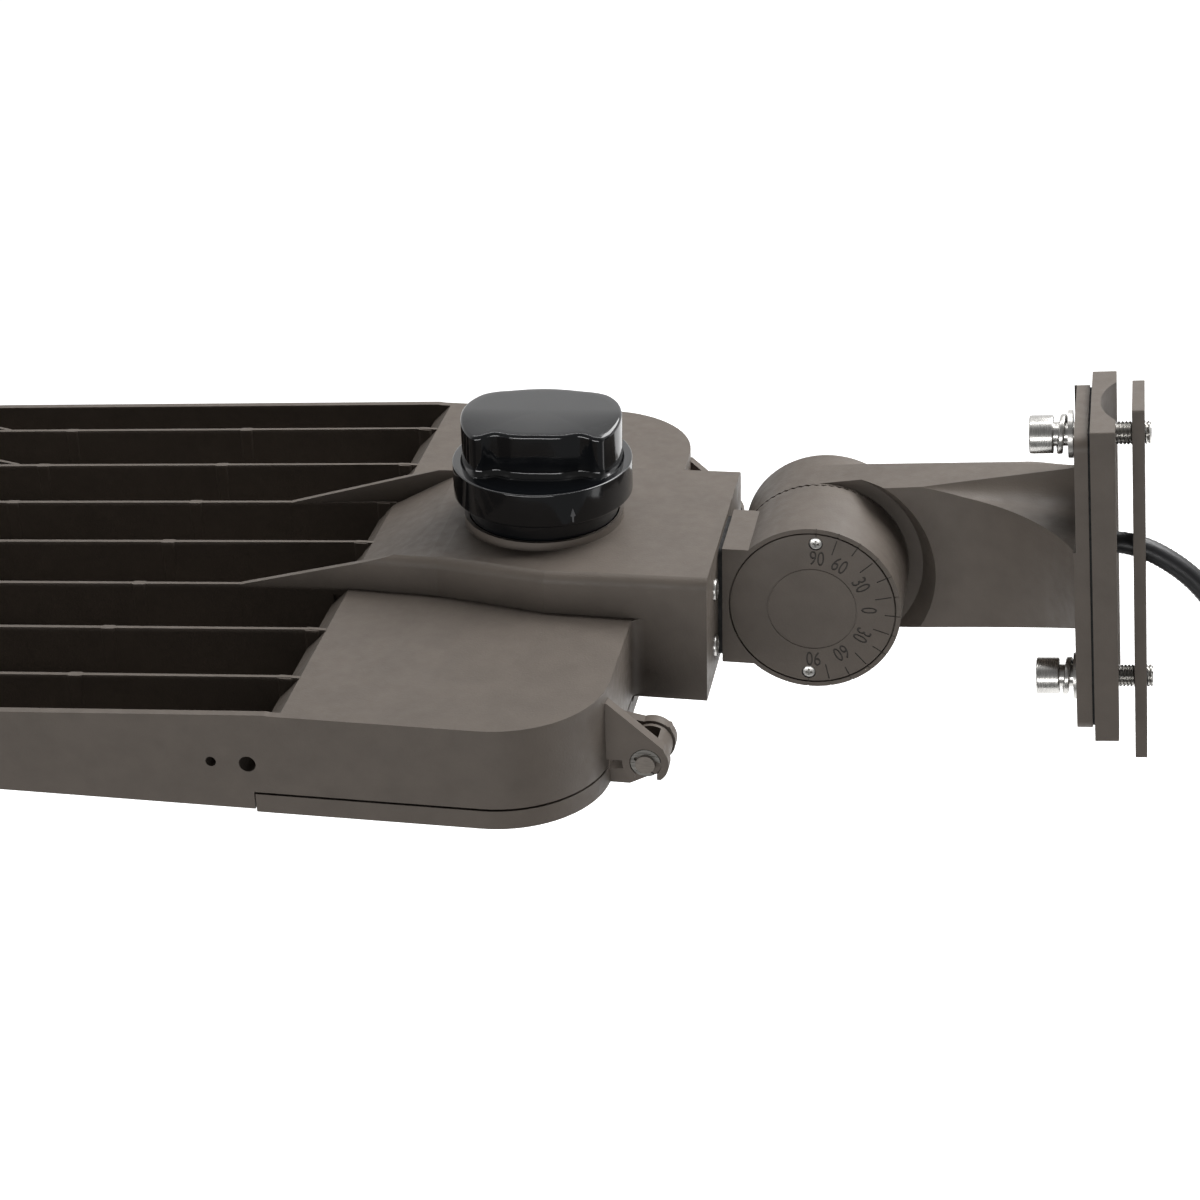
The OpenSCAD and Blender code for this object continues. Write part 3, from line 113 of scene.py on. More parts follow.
class CapSizes(bpy.types.PropertyGroup):
    """Sizes of the twist-lock cap, in millimetres"""

    grip_h: bpy.props.FloatProperty(
        name="Grip height", description="Height of the grip above the rim",
        default=20.0, min=14, max=20)
    edge_r: bpy.props.FloatProperty(
        name="Grip edge", description="Radius of the grip's top edge", default=1.5, min=0.5, max=4)
    skirt_r: bpy.props.FloatProperty(
        name="Skirt radius", description="Radius of the skirt", default=39.0, min=36, max=39)
    black: bpy.props.FloatVectorProperty(
        name="Cap colour", description="Glossy black plastic",
        default=(0.0030, 0.0036, 0.0046), size=3, min=0, max=1, subtype="COLOR")


class DialSizes(bpy.types.PropertyGroup):
    """Sizes of the tilt dial, in millimetres"""

    numeral: bpy.props.FloatProperty(
        name="Numeral height", description="Type size of the numerals",
        default=9.8, min=5, max=10)
    depth: bpy.props.FloatProperty(
        name="Engraving depth", description="Depth of the lines and numerals",
        default=0.4, min=0.1, max=0.8)
    tick: bpy.props.FloatProperty(
        name="Tick width", description="Width of a tick", default=0.5, min=0.2, max=1)


class CableSizes(bpy.types.PropertyGroup):
    """Sizes of the supply cable"""

    diameter: bpy.props.FloatProperty(
        name="Cable diameter", description="Outside diameter of the jacket",
        default=0.0095, min=0.009, max=0.0095, precision=4, subtype="DISTANCE", unit="LENGTH")
    jacket: bpy.props.FloatVectorProperty(
        name="Jacket colour", description="Black cable jacket",
        default=(0.012, 0.012, 0.013), size=3, min=0, max=1, subtype="COLOR")


class StageSettings(bpy.types.PropertyGroup):
    """Camera, lamps and floor"""

    lens: bpy.props.FloatProperty(
        name="Lens", description="Focal length on a 36 mm wide frame, in millimetres",
        default=82.028, min=20, max=200)
    floor_z: bpy.props.FloatProperty(
        name="Floor height", description="Height of the floor from the pole plate's middle",
        default=-0.62, min=-2, max=-0.3, subtype="DISTANCE", unit="LENGTH")
    sky: bpy.props.FloatProperty(
        name="Sky strength", description="Light from all round", default=0.05, min=0, max=2)
    near: bpy.props.FloatProperty(
        name="Near side", description="White that mirrors find on the near side",
        default=0.22, min=0, max=1)
    key: bpy.props.FloatProperty(
        name="Key power", description="Power of the softbox above, in watts",
        default=43, min=0, max=200)
    front: bpy.props.FloatProperty(
        name="Front power", description="Power of the low softbox in front, in watts",
        default=26, min=0, max=200)
    strip: bpy.props.FloatProperty(
        name="Strip power", description="Power of the narrow softbox overhead, in watts",
        default=6, min=0, max=200)
    glow: bpy.props.FloatProperty(
        name="Floor glow", description="White added to the floor as seen or mirrored",
        default=0.9, min=0, max=1)


def settings(name):
    """The values of one property group on the scene."""
    return getattr(bpy.context.scene, name)


# Mesh helpers


def smooth(mesh, angle=32):
    """Rounds the shading except across edges sharper than the angle."""
    mesh.polygons.foreach_set("use_smooth", [True] * len(mesh.polygons))
    mesh.set_sharp_from_angle(angle=math.radians(angle))


def clean(mesh, distance):
    """Merges points nearer than the distance and turns the faces outwards."""
    bm = bmesh.new()
    bm.from_mesh(mesh)
    bmesh.ops.remove_doubles(bm, verts=bm.verts, dist=distance)
    bmesh.ops.recalc_face_normals(bm, faces=bm.faces)
    bm.to_mesh(mesh)
    bm.free()


def new_object(name, mesh, materials=()):
    """An object in the scene's collection, with its materials."""
    for finish in materials:
        mesh.materials.append(finish)
    piece = bpy.data.objects.new(name, mesh)
    bpy.context.scene.collection.objects.link(piece)
    return piece


def mesh_from(name, points, faces, place=None, angle=32):
    """A smooth-shaded mesh from points and faces, moved to its place."""
    mesh = bpy.data.meshes.new(name)
    mesh.from_pydata([tuple(p) for p in points], [], faces)
    clean(mesh, 1e-5)
    if place is not None:
        mesh.transform(place)
    mesh.validate()
    smooth(mesh, angle)
    return mesh


def grid(rows, closed_ring=True, caps=True):
    """Faces between rows of equally many points, with a face over each end."""
    count = len(rows[0])
    points = [p for row in rows for p in row]
    faces = []
    last = count if closed_ring else count - 1
    for i in range(len(rows) - 1):
        low, high = i * count, (i + 1) * count
        for j in range(last):
            k = (j + 1) % count
            faces.append((low + j, low + k, high + k, high + j))
    if caps:
        faces.append(tuple(range(count))[::-1])
        faces.append(tuple(range((len(rows) - 1) * count, len(rows) * count)))
    return points, faces


def circle(radius, height, steps):
    """Points of a level circle about Z."""
    turns = [math.tau * j / steps for j in range(steps)]
    return [(radius * math.cos(a), radius * math.sin(a), height) for a in turns]


def lathe(profile, steps):
    """Points and faces of a profile of (radius, height) turned about Z; its ends lie on or
    near the axis."""
    return grid([circle(radius, height, steps) for radius, height in profile])


def rounded(profile, radius, steps=4):
    """The profile with each inner corner rounded; a corner keeps room on both sides."""
    out = [profile[0]]
    for before, corner, after in zip(profile, profile[1:], profile[2:]):
        a, c, b = Vector(before), Vector(corner), Vector(after)
        room = min(radius, 0.45 * (a - c).length, 0.45 * (b - c).length)
        start = c + (a - c).normalized() * room
        end = c + (b - c).normalized() * room
        for i in range(steps + 1):
            t = i / steps
            out.append(tuple(start.lerp(c, t).lerp(c.lerp(end, t), t)))
    out.append(profile[-1])
    return out


def between(a, b, c, d, t):
    """The point at share t from b to c on the smooth line through a, b, c and d."""
    return 0.5 * (2 * b + (c - a) * t + (2 * a - 5 * b + 4 * c - d) * t * t
                  + (3 * b - a - 3 * c + d) * t ** 3)


def box_points(low, high):
    """Corner points and faces of a plain box, used as a cutter."""
    points = [(x, y, z) for x in (low[0], high[0])
              for y in (low[1], high[1]) for z in (low[2], high[2])]
    faces = [(0, 1, 3, 2), (4, 6, 7, 5), (0, 4, 5, 1), (2, 3, 7, 6), (0, 2, 6, 4), (1, 5, 7, 3)]
    return points, faces


def joined(meshes, places, angle=None):
    """One mesh from a copy of each mesh at its place, smooth-shaded if an angle is given."""
    bm = bmesh.new()
    for mesh, place in zip(meshes, places):
        copy = mesh.copy()
        copy.transform(place)
        bm.from_mesh(copy)
        bpy.data.meshes.remove(copy)
    mesh = bpy.data.meshes.new("joined")
    bm.to_mesh(mesh)
    bm.free()
    if angle is not None:
        smooth(mesh, angle)
    return mesh


def evaluated(target):
    """The object's mesh with its modifiers and text settings applied."""
    bpy.context.view_layer.update()
    return bpy.data.meshes.new_from_object(
        target.evaluated_get(bpy.context.evaluated_depsgraph_get()))


def carved(body, cutters):
    """The body's mesh less the cutters' meshes."""
    target = new_object("carving", body)
    tool = new_object("cutter", joined(cutters, [Matrix.Identity(4)] * len(cutters)))
    modifier = target.modifiers.new("carve", "BOOLEAN")
    modifier.operation = "DIFFERENCE"
    modifier.solver = "EXACT"
    modifier.use_self = True
    modifier.object = tool
    result = evaluated(target)
    bpy.data.objects.remove(target)
    bpy.data.objects.remove(tool)
    return result


def finish_piece(piece, body, slot, *nodes):
    """The piece rides on its body and stands for the nodes, which are hidden. The slot is not
    used.
    """
    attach(piece, body)
    if nodes:
        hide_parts(*nodes)


# Materials


def feed(tree, node, inputs):
    """Gives each named input of the node a value, or links it to another node's output."""
    for name, value in inputs.items():
        if isinstance(value, bpy.types.NodeSocket):
            tree.links.new(value, node.inputs[name])
        else:
            node.inputs[name].default_value = value


def add_node(tree, kind, inputs=None, **choices):
    """A new node with its choices made and its inputs fed."""
    node = tree.nodes.new(kind)
    for name, choice in choices.items():
        setattr(node, name, choice)
    feed(tree, node, inputs or {})
    return node


class Finish:
    """A new material with its shader and short calls for its nodes."""

    def __init__(self, name, colour, roughness=0.5, metallic=0.0, specular=0.5):
        self.material = bpy.data.materials.new(name)
        self.material.use_nodes = True
        self.material.diffuse_color = (*colour, 1)
        self.tree = self.material.node_tree
        self.shader = self.tree.nodes["Principled BSDF"]
        self.place = self.node("ShaderNodeTexCoord").outputs["Object"]
        self.give({"Base Color": (*colour, 1), "Roughness": roughness,
                   "Metallic": metallic, "Specular IOR Level": specular})

    def node(self, kind, inputs=None, **choices):
        return add_node(self.tree, kind, inputs, **choices)

    def give(self, inputs):
        feed(self.tree, self.shader, inputs)

    def noise(self, spacing, detail=3.0, stretch=None):
        """Noise whose features lie about the spacing apart, in metres."""
        place = self.place
        if stretch:
            place = self.node("ShaderNodeMapping",
                              {"Vector": place, "Scale": stretch}).outputs["Vector"]
        return self.node("ShaderNodeTexNoise", {
            "Vector": place, "Scale": 1 / spacing, "Detail": detail}).outputs["Fac"]

    def spread(self, value, low, high):
        """The noise's middle stretched from low to high."""
        return self.node("ShaderNodeMapRange", {
            "Value": value, "From Min": 0.3, "From Max": 0.7,
            "To Min": low, "To Max": high}).outputs["Result"]

    def tint(self, value, colour, low, high):
        """The colour from a darker to a lighter tone by the value."""
        tones = [(*[min(1, c * share) for c in colour], 1) for share in (low, high)]
        node = self.node("ShaderNodeMix", {
            "Factor": self.spread(value, 0, 1), "A": tones[0], "B": tones[1]}, data_type="RGBA")
        self.give({"Base Color": node.outputs["Result"]})

    def gloss(self, value, low, high):
        """The roughness from low to high by the value."""
        self.give({"Roughness": self.spread(value, low, high)})

    def bump(self, height, depth, strength=1.0):
        """Relief from the height, as deep as depth in metres."""
        node = self.node("ShaderNodeBump", {
            "Height": height, "Strength": strength, "Distance": depth})
        self.give({"Normal": node.outputs["Normal"]})


def powder_coat(name, colour, grain):
    """Textured powder coat: fine grain, a little cloudiness, half gloss."""
    finish = Finish(name, colour, 0.52, specular=0.3)
    finish.tint(finish.noise(grain * 14, 4), colour, 0.93, 1.07)
    finish.gloss(finish.noise(grain * 5, 2), 0.46, 0.60)
    finish.bump(finish.noise(grain, 3), 0.0001, 0.8)
    return finish.material


def bare_metal(name, colour, roughness, stretch=(1, 1, 12)):
    """Metal with fine marks along one way."""
    finish = Finish(name, colour, roughness, 1.0)
    finish.tint(finish.noise(0.004, 3), colour, 0.90, 1.06)
    marks = finish.noise(0.0035, 4, stretch)
    finish.gloss(marks, roughness * 0.75, roughness * 1.3)
    finish.bump(marks, 0.00002, 0.35)
    return finish.material


def gloss_moulding(name, colour):
    """Glossy moulded plastic with faint flow marks."""
    finish = Finish(name, colour, 0.10)
    finish.give({"Coat Weight": 0.2, "Coat Roughness": 0.04})
    finish.gloss(finish.noise(0.02, 2), 0.07, 0.16)
    finish.bump(finish.noise(0.03, 1), 0.00006, 0.25)
    return finish.material


def matt_moulding(name, colour, roughness=0.55, grain=0.0006, depth=0.00004):
    """Matt plastic or rubber with a fine grain."""
    finish = Finish(name, colour, roughness, specular=0.4)
    finish.tint(finish.noise(grain * 20, 2), colour, 0.88, 1.12)
    finish.gloss(finish.noise(grain * 4, 2), roughness - 0.08, roughness + 0.1)
    finish.bump(finish.noise(grain, 2), depth, 0.6)
    return finish.material


def clear_moulding(name):
    """Clear lens plastic."""
    finish = Finish(name, (0.95, 0.97, 0.98), 0.06)
    finish.give({"IOR": 1.49, "Transmission Weight": 0.9})
    finish.gloss(finish.noise(0.01, 2), 0.04, 0.10)
    finish.bump(finish.noise(0.02, 1), 0.00004, 0.2)
    return finish.material


def recipes():
    """Each finish's maker and what the maker takes after the name."""
    coat, metal = settings("light_coat"), settings("light_metal")
    return {
        "bronze_coat": (powder_coat, coat.coat, coat.grain),
        # Painted shade: the engraved ticks and numerals take the darker shade colour in place of
        # the shade inside them
        "engraved_coat": (powder_coat, coat.shade, coat.grain),
        "stainless": (bare_metal, metal.steel, 0.34),
        "turned_steel": (bare_metal, metal.steel, 0.27, (14, 1, 1)),
        "plated_steel": (bare_metal, metal.dark, 0.6),
        "clip_steel": (bare_metal, (0.27, 0.26, 0.24), 0.34),
        "brass": (bare_metal, metal.brass, 0.25),
        "case_metal": (bare_metal, (0.62, 0.62, 0.60), 0.34, (1, 10, 1)),
        "gloss_black": (gloss_moulding, settings("light_cap").black),
        "frosted_black": (matt_moulding, (0.10, 0.10, 0.105), 0.5),
        "jacket": (matt_moulding, settings("light_cable").jacket, 0.38, 0.0005, 0.00003),
        "black_rubber": (matt_moulding, (0.010, 0.010, 0.010), 0.7),
        "black_nylon": (matt_moulding, (0.012, 0.012, 0.013), 0.42),
        "wire_green": (matt_moulding, (0.02, 0.16, 0.05), 0.4),
        "wire_black": (matt_moulding, (0.012, 0.012, 0.012), 0.4),
        "board_white": (matt_moulding, (0.80, 0.80, 0.78), 0.4, 0.001, 0.00001),
        "silicone": (matt_moulding, (0.55, 0.55, 0.53), 0.6),
        "case_blue": (matt_moulding, (0.03, 0.07, 0.30), 0.45),
        "plastic_white": (matt_moulding, (0.70, 0.69, 0.64), 0.5),
        "phosphor": (matt_moulding, (0.85, 0.62, 0.08), 0.5, 0.0004, 0.00001),
        "clear_lens": (clear_moulding,),
    }


MATERIALS = {}


def finish_for(name):
    """The named material, made once."""
    if name not in MATERIALS:
        maker, *values = recipes()[name]
        MATERIALS[name] = maker(name, *values)
    return MATERIALS[name]


NODE_FINISH = {
    "bronze_coat": ("arm_casting", "pole_plate", "backing_plate", "housing", "knuckle_bracket",
                    "driver_door"),
    "stainless": ("flat_washers", "pivot_bolt", "pivot_washer", "pivot_nut"),
    "plated_steel": ("hinge_pins",),
    "clip_steel": ("hinge_clips",),
    "gloss_black": ("receptacle",),
    "brass": ("receptacle_contacts", "cap_blades"),
    "case_metal": ("led_driver",),
    "black_rubber": ("flange_gasket", "cord_grommet", "bracket_gasket", "door_gasket",
                     "cap_gasket"),
    "black_nylon": ("coil_tie",),
    "wire_green": ("cord_leads",),
    "wire_black": ("bay_wires",),
    "board_white": ("led_boards",),
    "silicone": ("lens_gaskets",),
    "case_blue": ("surge_protector",),
    "plastic_white": ("terminal_block",),
    "clear_lens": ("lens_plates",),
}


# Stage


class AREALIGHT_OT_stage(bpy.types.Operator):
    """Camera, lamps, sky and floor"""

    bl_idname = "area_light.stage"
    bl_label = "Stage"

    # The camera's turns in degrees, and where it sees the knuckle, in metres
    pitch, yaw, roll = 27.0333, 13.0637, 6.3306
    to_right, to_top, ahead_by = 0.094648, 0.006479, 1.189166

    # The floor's near edge, where its rise starts, the rise's radius, the backdrop's top and
    # half the width, in metres
    near_edge, rise_from, rise_r, top_edge, half_width = -0.4, 3.2, 1.2, 5.0, 6.0

    def execute(self, context):
        stage = settings("light_stage")
        self.camera(stage)
        self.sky(stage)
        self.lamps(stage)
        self.floor(stage)
        context.scene.view_settings.view_transform = "Standard"
        return {"FINISHED"}

    def camera(self, stage):
        """The camera looks down at the light from its near side, a little rolled."""
        pitch, yaw, roll = (math.radians(a) for a in (self.pitch, self.yaw, self.roll))
        level = Vector((-math.sin(yaw), math.cos(yaw), 0))
        side = Vector((math.cos(yaw), math.sin(yaw), 0))
        up = Vector((0, 0, 1))
        ahead = level * math.cos(pitch) - up * math.sin(pitch)
        down = -(level * math.sin(pitch) + up * math.cos(pitch))
        right = side * math.cos(roll) + down * math.sin(roll)
        top = side * math.sin(roll) - down * math.cos(roll)
        data = bpy.data.cameras.new("camera")
        data.lens = stage.lens
        data.sensor_width = 36
        data.clip_start = 0.01
        camera = new_object("camera", data)
        place = KNUCKLE - (right * self.to_right + top * self.to_top + ahead * self.ahead_by)
        turn = Matrix((right, top, -ahead)).transposed().to_4x4()
        camera.matrix_world = Matrix.Translation(place) @ turn
        bpy.context.scene.camera = camera

    def greater(self, tree, a, b):
        """The greater of two values."""
        return add_node(tree, "ShaderNodeMath", {0: a, 1: b}, operation="MAXIMUM").outputs[0]

    def backdrop_share(self, tree):
        """1 where the camera, a mirror or clear plastic looks, else 0."""
        path = add_node(tree, "ShaderNodeLightPath").outputs
        share = self.greater(tree, path["Is Camera Ray"], path["Is Glossy Ray"])
        return self.greater(tree, share, path["Is Transmission Ray"])

    def sky(self, stage):
        """White where the camera looks, soft where it lights, and darker on the near side for
        mirrors."""
        world = bpy.data.worlds.new("sky")
        bpy.context.scene.world = world
        world.use_nodes = True
        tree = world.node_tree
        way = add_node(tree, "ShaderNodeTexCoord").outputs["Generated"]
        far_way = add_node(tree, "ShaderNodeSeparateXYZ", {"Vector": way}).outputs["Y"]
        mirrored = add_node(tree, "ShaderNodeMapRange", {
            "Value": far_way, "From Min": -0.45, "From Max": 0.0, "To Min": stage.near})
        camera_ray = add_node(tree, "ShaderNodeLightPath").outputs["Is Camera Ray"]
        strength = add_node(tree, "ShaderNodeMapRange", {
            "Value": self.backdrop_share(tree), "To Min": stage.sky,
            "To Max": self.greater(tree, mirrored.outputs["Result"], camera_ray)})
        feed(tree, tree.nodes["Background"], {
            "Color": (1, 1, 1, 1), "Strength": strength.outputs["Result"]})

    def lamps(self, stage):
        """A large softbox above and behind, a narrow one overhead and a low one in front."""
        for name, place, target, size, power in (
                ("key", (0.75, 0.75, 1.25), (-0.15, 0, 0), (1.5, 1.0), stage.key),
                ("strip", (-0.25, 0.15, 1.35), (-0.25, 0, 0), (1.8, 0.08), stage.strip),
                ("front", (-0.5, -2.1, -0.1), (-0.3, 0, 0), (2.4, 0.4), stage.front)):
            data = bpy.data.lights.new(name, "AREA")
            data.shape = "RECTANGLE"
            data.size, data.size_y = size
            data.energy = power
            way = Vector(target) - Vector(place)
            turn = way.to_track_quat("-Z", "Y").to_matrix().to_4x4()
            new_object(name, data).matrix_world = Matrix.Translation(place) @ turn

    def floor(self, stage):
        """A pale floor that curves up into a backdrop at its far side."""
        profile = [(self.near_edge, 0.0), (self.rise_from, 0.0)]
        for i in range(1, 13):
            a = math.pi * i / 24
            profile.append((self.rise_from + self.rise_r * math.sin(a),
                            self.rise_r - self.rise_r * math.cos(a)))
        profile.append((self.rise_from + self.rise_r, self.top_edge))
        rows = [[(x, y, z + stage.floor_z) for y, z in profile]
                for x in (-self.half_width, self.half_width)]
        mesh = mesh_from("floor", *grid(rows, closed_ring=False, caps=False))
        mesh.flip_normals()
        material = bpy.data.materials.new("floor")
        material.use_nodes = True
        tree = material.node_tree
        shader = tree.nodes["Principled BSDF"]
        glow = add_node(tree, "ShaderNodeMath", {0: self.backdrop_share(tree), 1: stage.glow},
                        operation="MULTIPLY")
        feed(tree, shader, {
            "Base Color": (0.82, 0.82, 0.82, 1), "Roughness": 0.9,
            "Emission Color": (1, 1, 1, 1), "Emission Strength": glow.outputs[0]})
        # Seen from underneath the floor is clear
        sided = add_node(tree, "ShaderNodeMixShader", {
            "Fac": add_node(tree, "ShaderNodeNewGeometry").outputs["Backfacing"],
            1: shader.outputs["BSDF"],
            2: add_node(tree, "ShaderNodeBsdfTransparent").outputs["BSDF"]})
        feed(tree, tree.nodes["Material Output"], {"Surface": sided.outputs["Shader"]})
        new_object("floor", mesh, [material])


# Supply cable


ROUTE = [(-12, 0, 7), (-4, 0, 7), (3, 0, 6.6), (12, 0, 3.6), (21, 0, -1.8), (30, 0, -9.4),
         (37.5, 0, -18.5), (43.5, 1, -29), (47.5, 4, -41), (50, 10, -53), (51.5, 19, -64),
         (52.5, 30, -76), (53.5, 40, -90), (54.5, 47.5, -106), (55.5, 51.5, -122), (56, 52, -132)]
COIL = {"x": 56.0, "z": -142.0, "radius": 52.0, "turns": 3, "pitch": 10.3}


class AREALIGHT_OT_cable(bpy.types.Operator):
    """Supply cable from its grommet to its tied coil"""

    bl_idname = "area_light.cable"
    bl_label = "Supply cable"

    # The distance of the line's points and the tail's length, in millimetres, and the steps
    # that the route's spans and the coil's turns are first drawn in
    spacing, tail, span_steps, turn_steps = 1.2, 9.5, 16, 120
    # The jacket's sides and the depth of its ribs
    sides, rib = 20, 0.16

    def execute(self, context):
        line = self.centreline()
        radius = settings("light_cable").diameter * 500
        piece = new_object("supply_cable", self.tube(line, radius), [finish_for("jacket")])
        finish_piece(piece, "arm", "cable_jacket", "supply_cord", "cord_coil")
        return {"FINISHED"}

    def rough_line(self):
        """Points along the route, round the coil and down its tail, at uneven distances."""
        rough = []
        points = [Vector(p) for p in ROUTE]
        for i in range(len(points) - 1):
            four = [points[max(0, min(len(points) - 1, i + k))] for k in (-1, 0, 1, 2)]
            rough += [between(*four, k / self.span_steps) for k in range(self.span_steps)]
        rough.append(points[-1])
        x, z, r, turns, pitch = (COIL[k] for k in ("x", "z", "radius", "turns", "pitch"))
        for i in range(self.turn_steps * turns + 1):
            t = i / self.turn_steps
            a = math.tau * t
            rough.append(Vector((x + pitch * t, r * math.cos(a), z - r * math.sin(a))))
        rough.append(Vector((x + pitch * turns, r, z - self.tail)))
        return rough

    def centreline(self):
        """The whole line with its points about the spacing apart, in millimetres."""
        rough = self.rough_line()
        line = [rough[0]]
        for point in rough[1:]:
            start = line[-1]
            gap = (point - start).length
            for k in range(1, int(gap // self.spacing) + 1):
                line.append(start.lerp(point, min(1.0, k * self.spacing / gap)))
        if (rough[-1] - line[-1]).length > 0.2:
            line.append(rough[-1])
        return line

    def tube(self, line, radius):
        """A jacket with fine ribs round it."""
        rows = []
        across = None
        for i, point in enumerate(line):
            along = (line[min(i + 1, len(line) - 1)] - line[max(i - 1, 0)]).normalized()
            if across is None:
                across = along.cross(Vector((0, 1, 0))).normalized()
            across = (across - along * across.dot(along)).normalized()
            other = along.cross(across)
            size = radius - (self.rib if i % 2 else 0.0)
            rows.append([point + size * (x * across + y * other)
                         for x, y, _ in circle(1, 0, self.sides)])
        return mesh_from("supply_cable", *grid(rows), ARM, 50)


# Castings and plain pieces


class AREALIGHT_OT_castings(bpy.types.Operator):
    """Finishes of the castings, plates, gaskets and inner pieces"""

    bl_idname = "area_light.castings"
    bl_label = "Castings and plain pieces"

    def execute(self, context):
        for name, nodes in NODE_FINISH.items():
            for node in nodes:
                mesh = frame["nodes"][node].data
                mesh.materials.clear()
                mesh.materials.append(finish_for(name))
        return {"FINISHED"}


# Twist-lock cap


class AREALIGHT_OT_cap(bpy.types.Operator):
    """Twist-lock cap with its skirt, grip and arrow"""

    bl_idname = "area_light.cap"
    bl_label = "Twist-lock cap"

    # Heights of the skirt's foot, its widest part, the arrow and the rim, above the knuckle
    foot, shoulder, arrow_foot, rim = 37.3, 39.9, 40.9, 54.6
    # Radii of the skirt's foot, of the inside of its rim and of the grip's reach
    foot_r, rim_inner_r, reach = 33.6, 35.3, 34.9
    # Where the top starts to fall towards the front and over what length, how far it falls in
    # the middle, and how much further at half the grip's width
    fall_from, fall_over, front_fall, corner_fall, half_width = 6, 26, 1.5, 4.0, 35
    # Half the grip's outline, from the middle of its front to the middle of its back
    half_outline = (
        (0, -19.2), (6, -19.1), (11, -18.3), (14.6, -16.9), (18.2, -15.9), (21.6, -16.6),
        (24.6, -17.7), (27.6, -17.2), (30.4, -14.2), (32.6, -10.2), (34.2, -5), (34.8, 0.5),
        (34.6, 6.2), (33.4, 12.2), (31, 17.4), (27.6, 21.9), (22.4, 24.8), (15.4, 26.4),
        (7.6, 28), (0, 28.6))

    def execute(self, context):
        sizes = settings("light_cap")
        turn = Matrix.Rotation(math.radians(CAP_TURN), 4, "Z")
        place = HEAD @ Matrix.Translation((-CAP_AHEAD, 0, 0)) @ turn
        skirt = mesh_from("skirt", *lathe(self.skirt_profile(sizes.skirt_r), 160), angle=40)
        grip = mesh_from("grip", *grid(self.grip_rows(sizes)), angle=40)
        mesh = joined([skirt, grip], [place] * 2, 40)
        piece = new_object("twist_cap", mesh, [finish_for("gloss_black")])
        finish_piece(piece, "cap", "gloss_black", "shorting_cap")
        arrow = new_object("cap_arrow", self.arrow(sizes.skirt_r, place),
                           [finish_for("frosted_black")])
        finish_piece(arrow, "cap", "gloss_black")
        return {"FINISHED"}

    def skirt_profile(self, r):
        """From the blade web up the outside to the floor inside the flat rim."""
        outer = [(AXIS_R, self.foot + 0.1), (self.foot_r - 1.2, self.foot),
                 (self.foot_r, self.foot + 0.2), (r - 0.9, self.shoulder - 0.9),
                 (r, self.shoulder), (r, self.rim), (self.rim_inner_r, self.rim),
                 (self.rim_inner_r - 0.5, self.rim - 1.0), (AXIS_R, self.rim - 1.0)]
        return rounded(outer, 0.7, 5)

    def outline(self, inset):
        """The grip seen from above: a wave in front, round ends and a bowed back."""
        half = [Vector(p) for p in self.half_outline]
        ring = half + [Vector((-p.x, p.y)) for p in reversed(half[1:-1])]
        fine = []
        for i, b in enumerate(ring):
            a, c, d = ring[i - 1], ring[(i + 1) % len(ring)], ring[(i + 2) % len(ring)]
            fine += [between(a, b, c, d, k / 6) for k in range(6)]
        moved = []
        for i, p in enumerate(fine):
            along = (fine[(i + 1) % len(fine)] - fine[i - 1]).normalized()
            moved.append(p + inset * Vector((-along.y, along.x)))
        return moved

    def crown(self, x, y):
        """How far the top lies below its highest level: it falls to the front corners."""
        front = max(0.0, min(1.0, (self.fall_from - y) / self.fall_over))
        return front ** 2 * (self.front_fall + self.corner_fall * (x / self.half_width) ** 2)

    def grip_rows(self, sizes):
        """Rings up the wall and over the rounded edge, then inwards over the top."""
        edge = sizes.edge_r
        top = self.rim + sizes.grip_h
        # Height, how far the ring lies inside the outline, and its share of the crown's fall
        stations = [(self.rim + up, inset, share) for up, inset, share in (
            (-1.2, -1.5, 0.0), (-0.9, -1.3, 0.0), (-0.3, -0.6, 0.0), (0.4, -0.2, 0.0),
            (1.4, 0.0, 0.0), (5, 0.0, 0.3), (10, 0.0, 0.7))]
        stations.append((top - edge - 0.4, 0.0, 1.0))
        for k in range(7):
            a = math.pi / 2 * k / 6
            stations.append((top - edge * (1 - math.sin(a)), edge * (1 - math.cos(a)), 1.0))
        rows = []
        for height, inset, share in stations:
            ring = [p * min(1.0, self.reach / p.length) for p in self.outline(inset)]
            rows.append([(p.x, p.y, height - share * self.crown(p.x, p.y)) for p in ring])
        middle = Vector((0, 4))
        for scale in (0.9, 0.75, 0.55, 0.3, 0.06):
            ring = [(p - middle) * scale + middle for p in self.outline(edge)]
            rows.append([(p.x, p.y, top - self.crown(p.x, p.y)) for p in ring])
        return rows

    def arrow(self, r, place):
        """A plain raised arrow on the skirt."""
        half = [(0, 6.4), (0.9, 3.7), (1.15, 2.9), (0.45, 2.5), (0.3, 0)]
        flat = half + [(-u, v) for u, v in reversed(half[1:])]
        rows = []
        for lift in (-0.3, 0.2):
            row = []
            for u, v in flat:
                angle = math.radians(-60 - CAP_TURN) + u / r
                row.append(((r + lift) * math.cos(angle), (r + lift) * math.sin(angle),
                            self.arrow_foot + v))
            rows.append(row)
        return mesh_from("arrow", *grid(rows), place, 40)


# Tilt dial


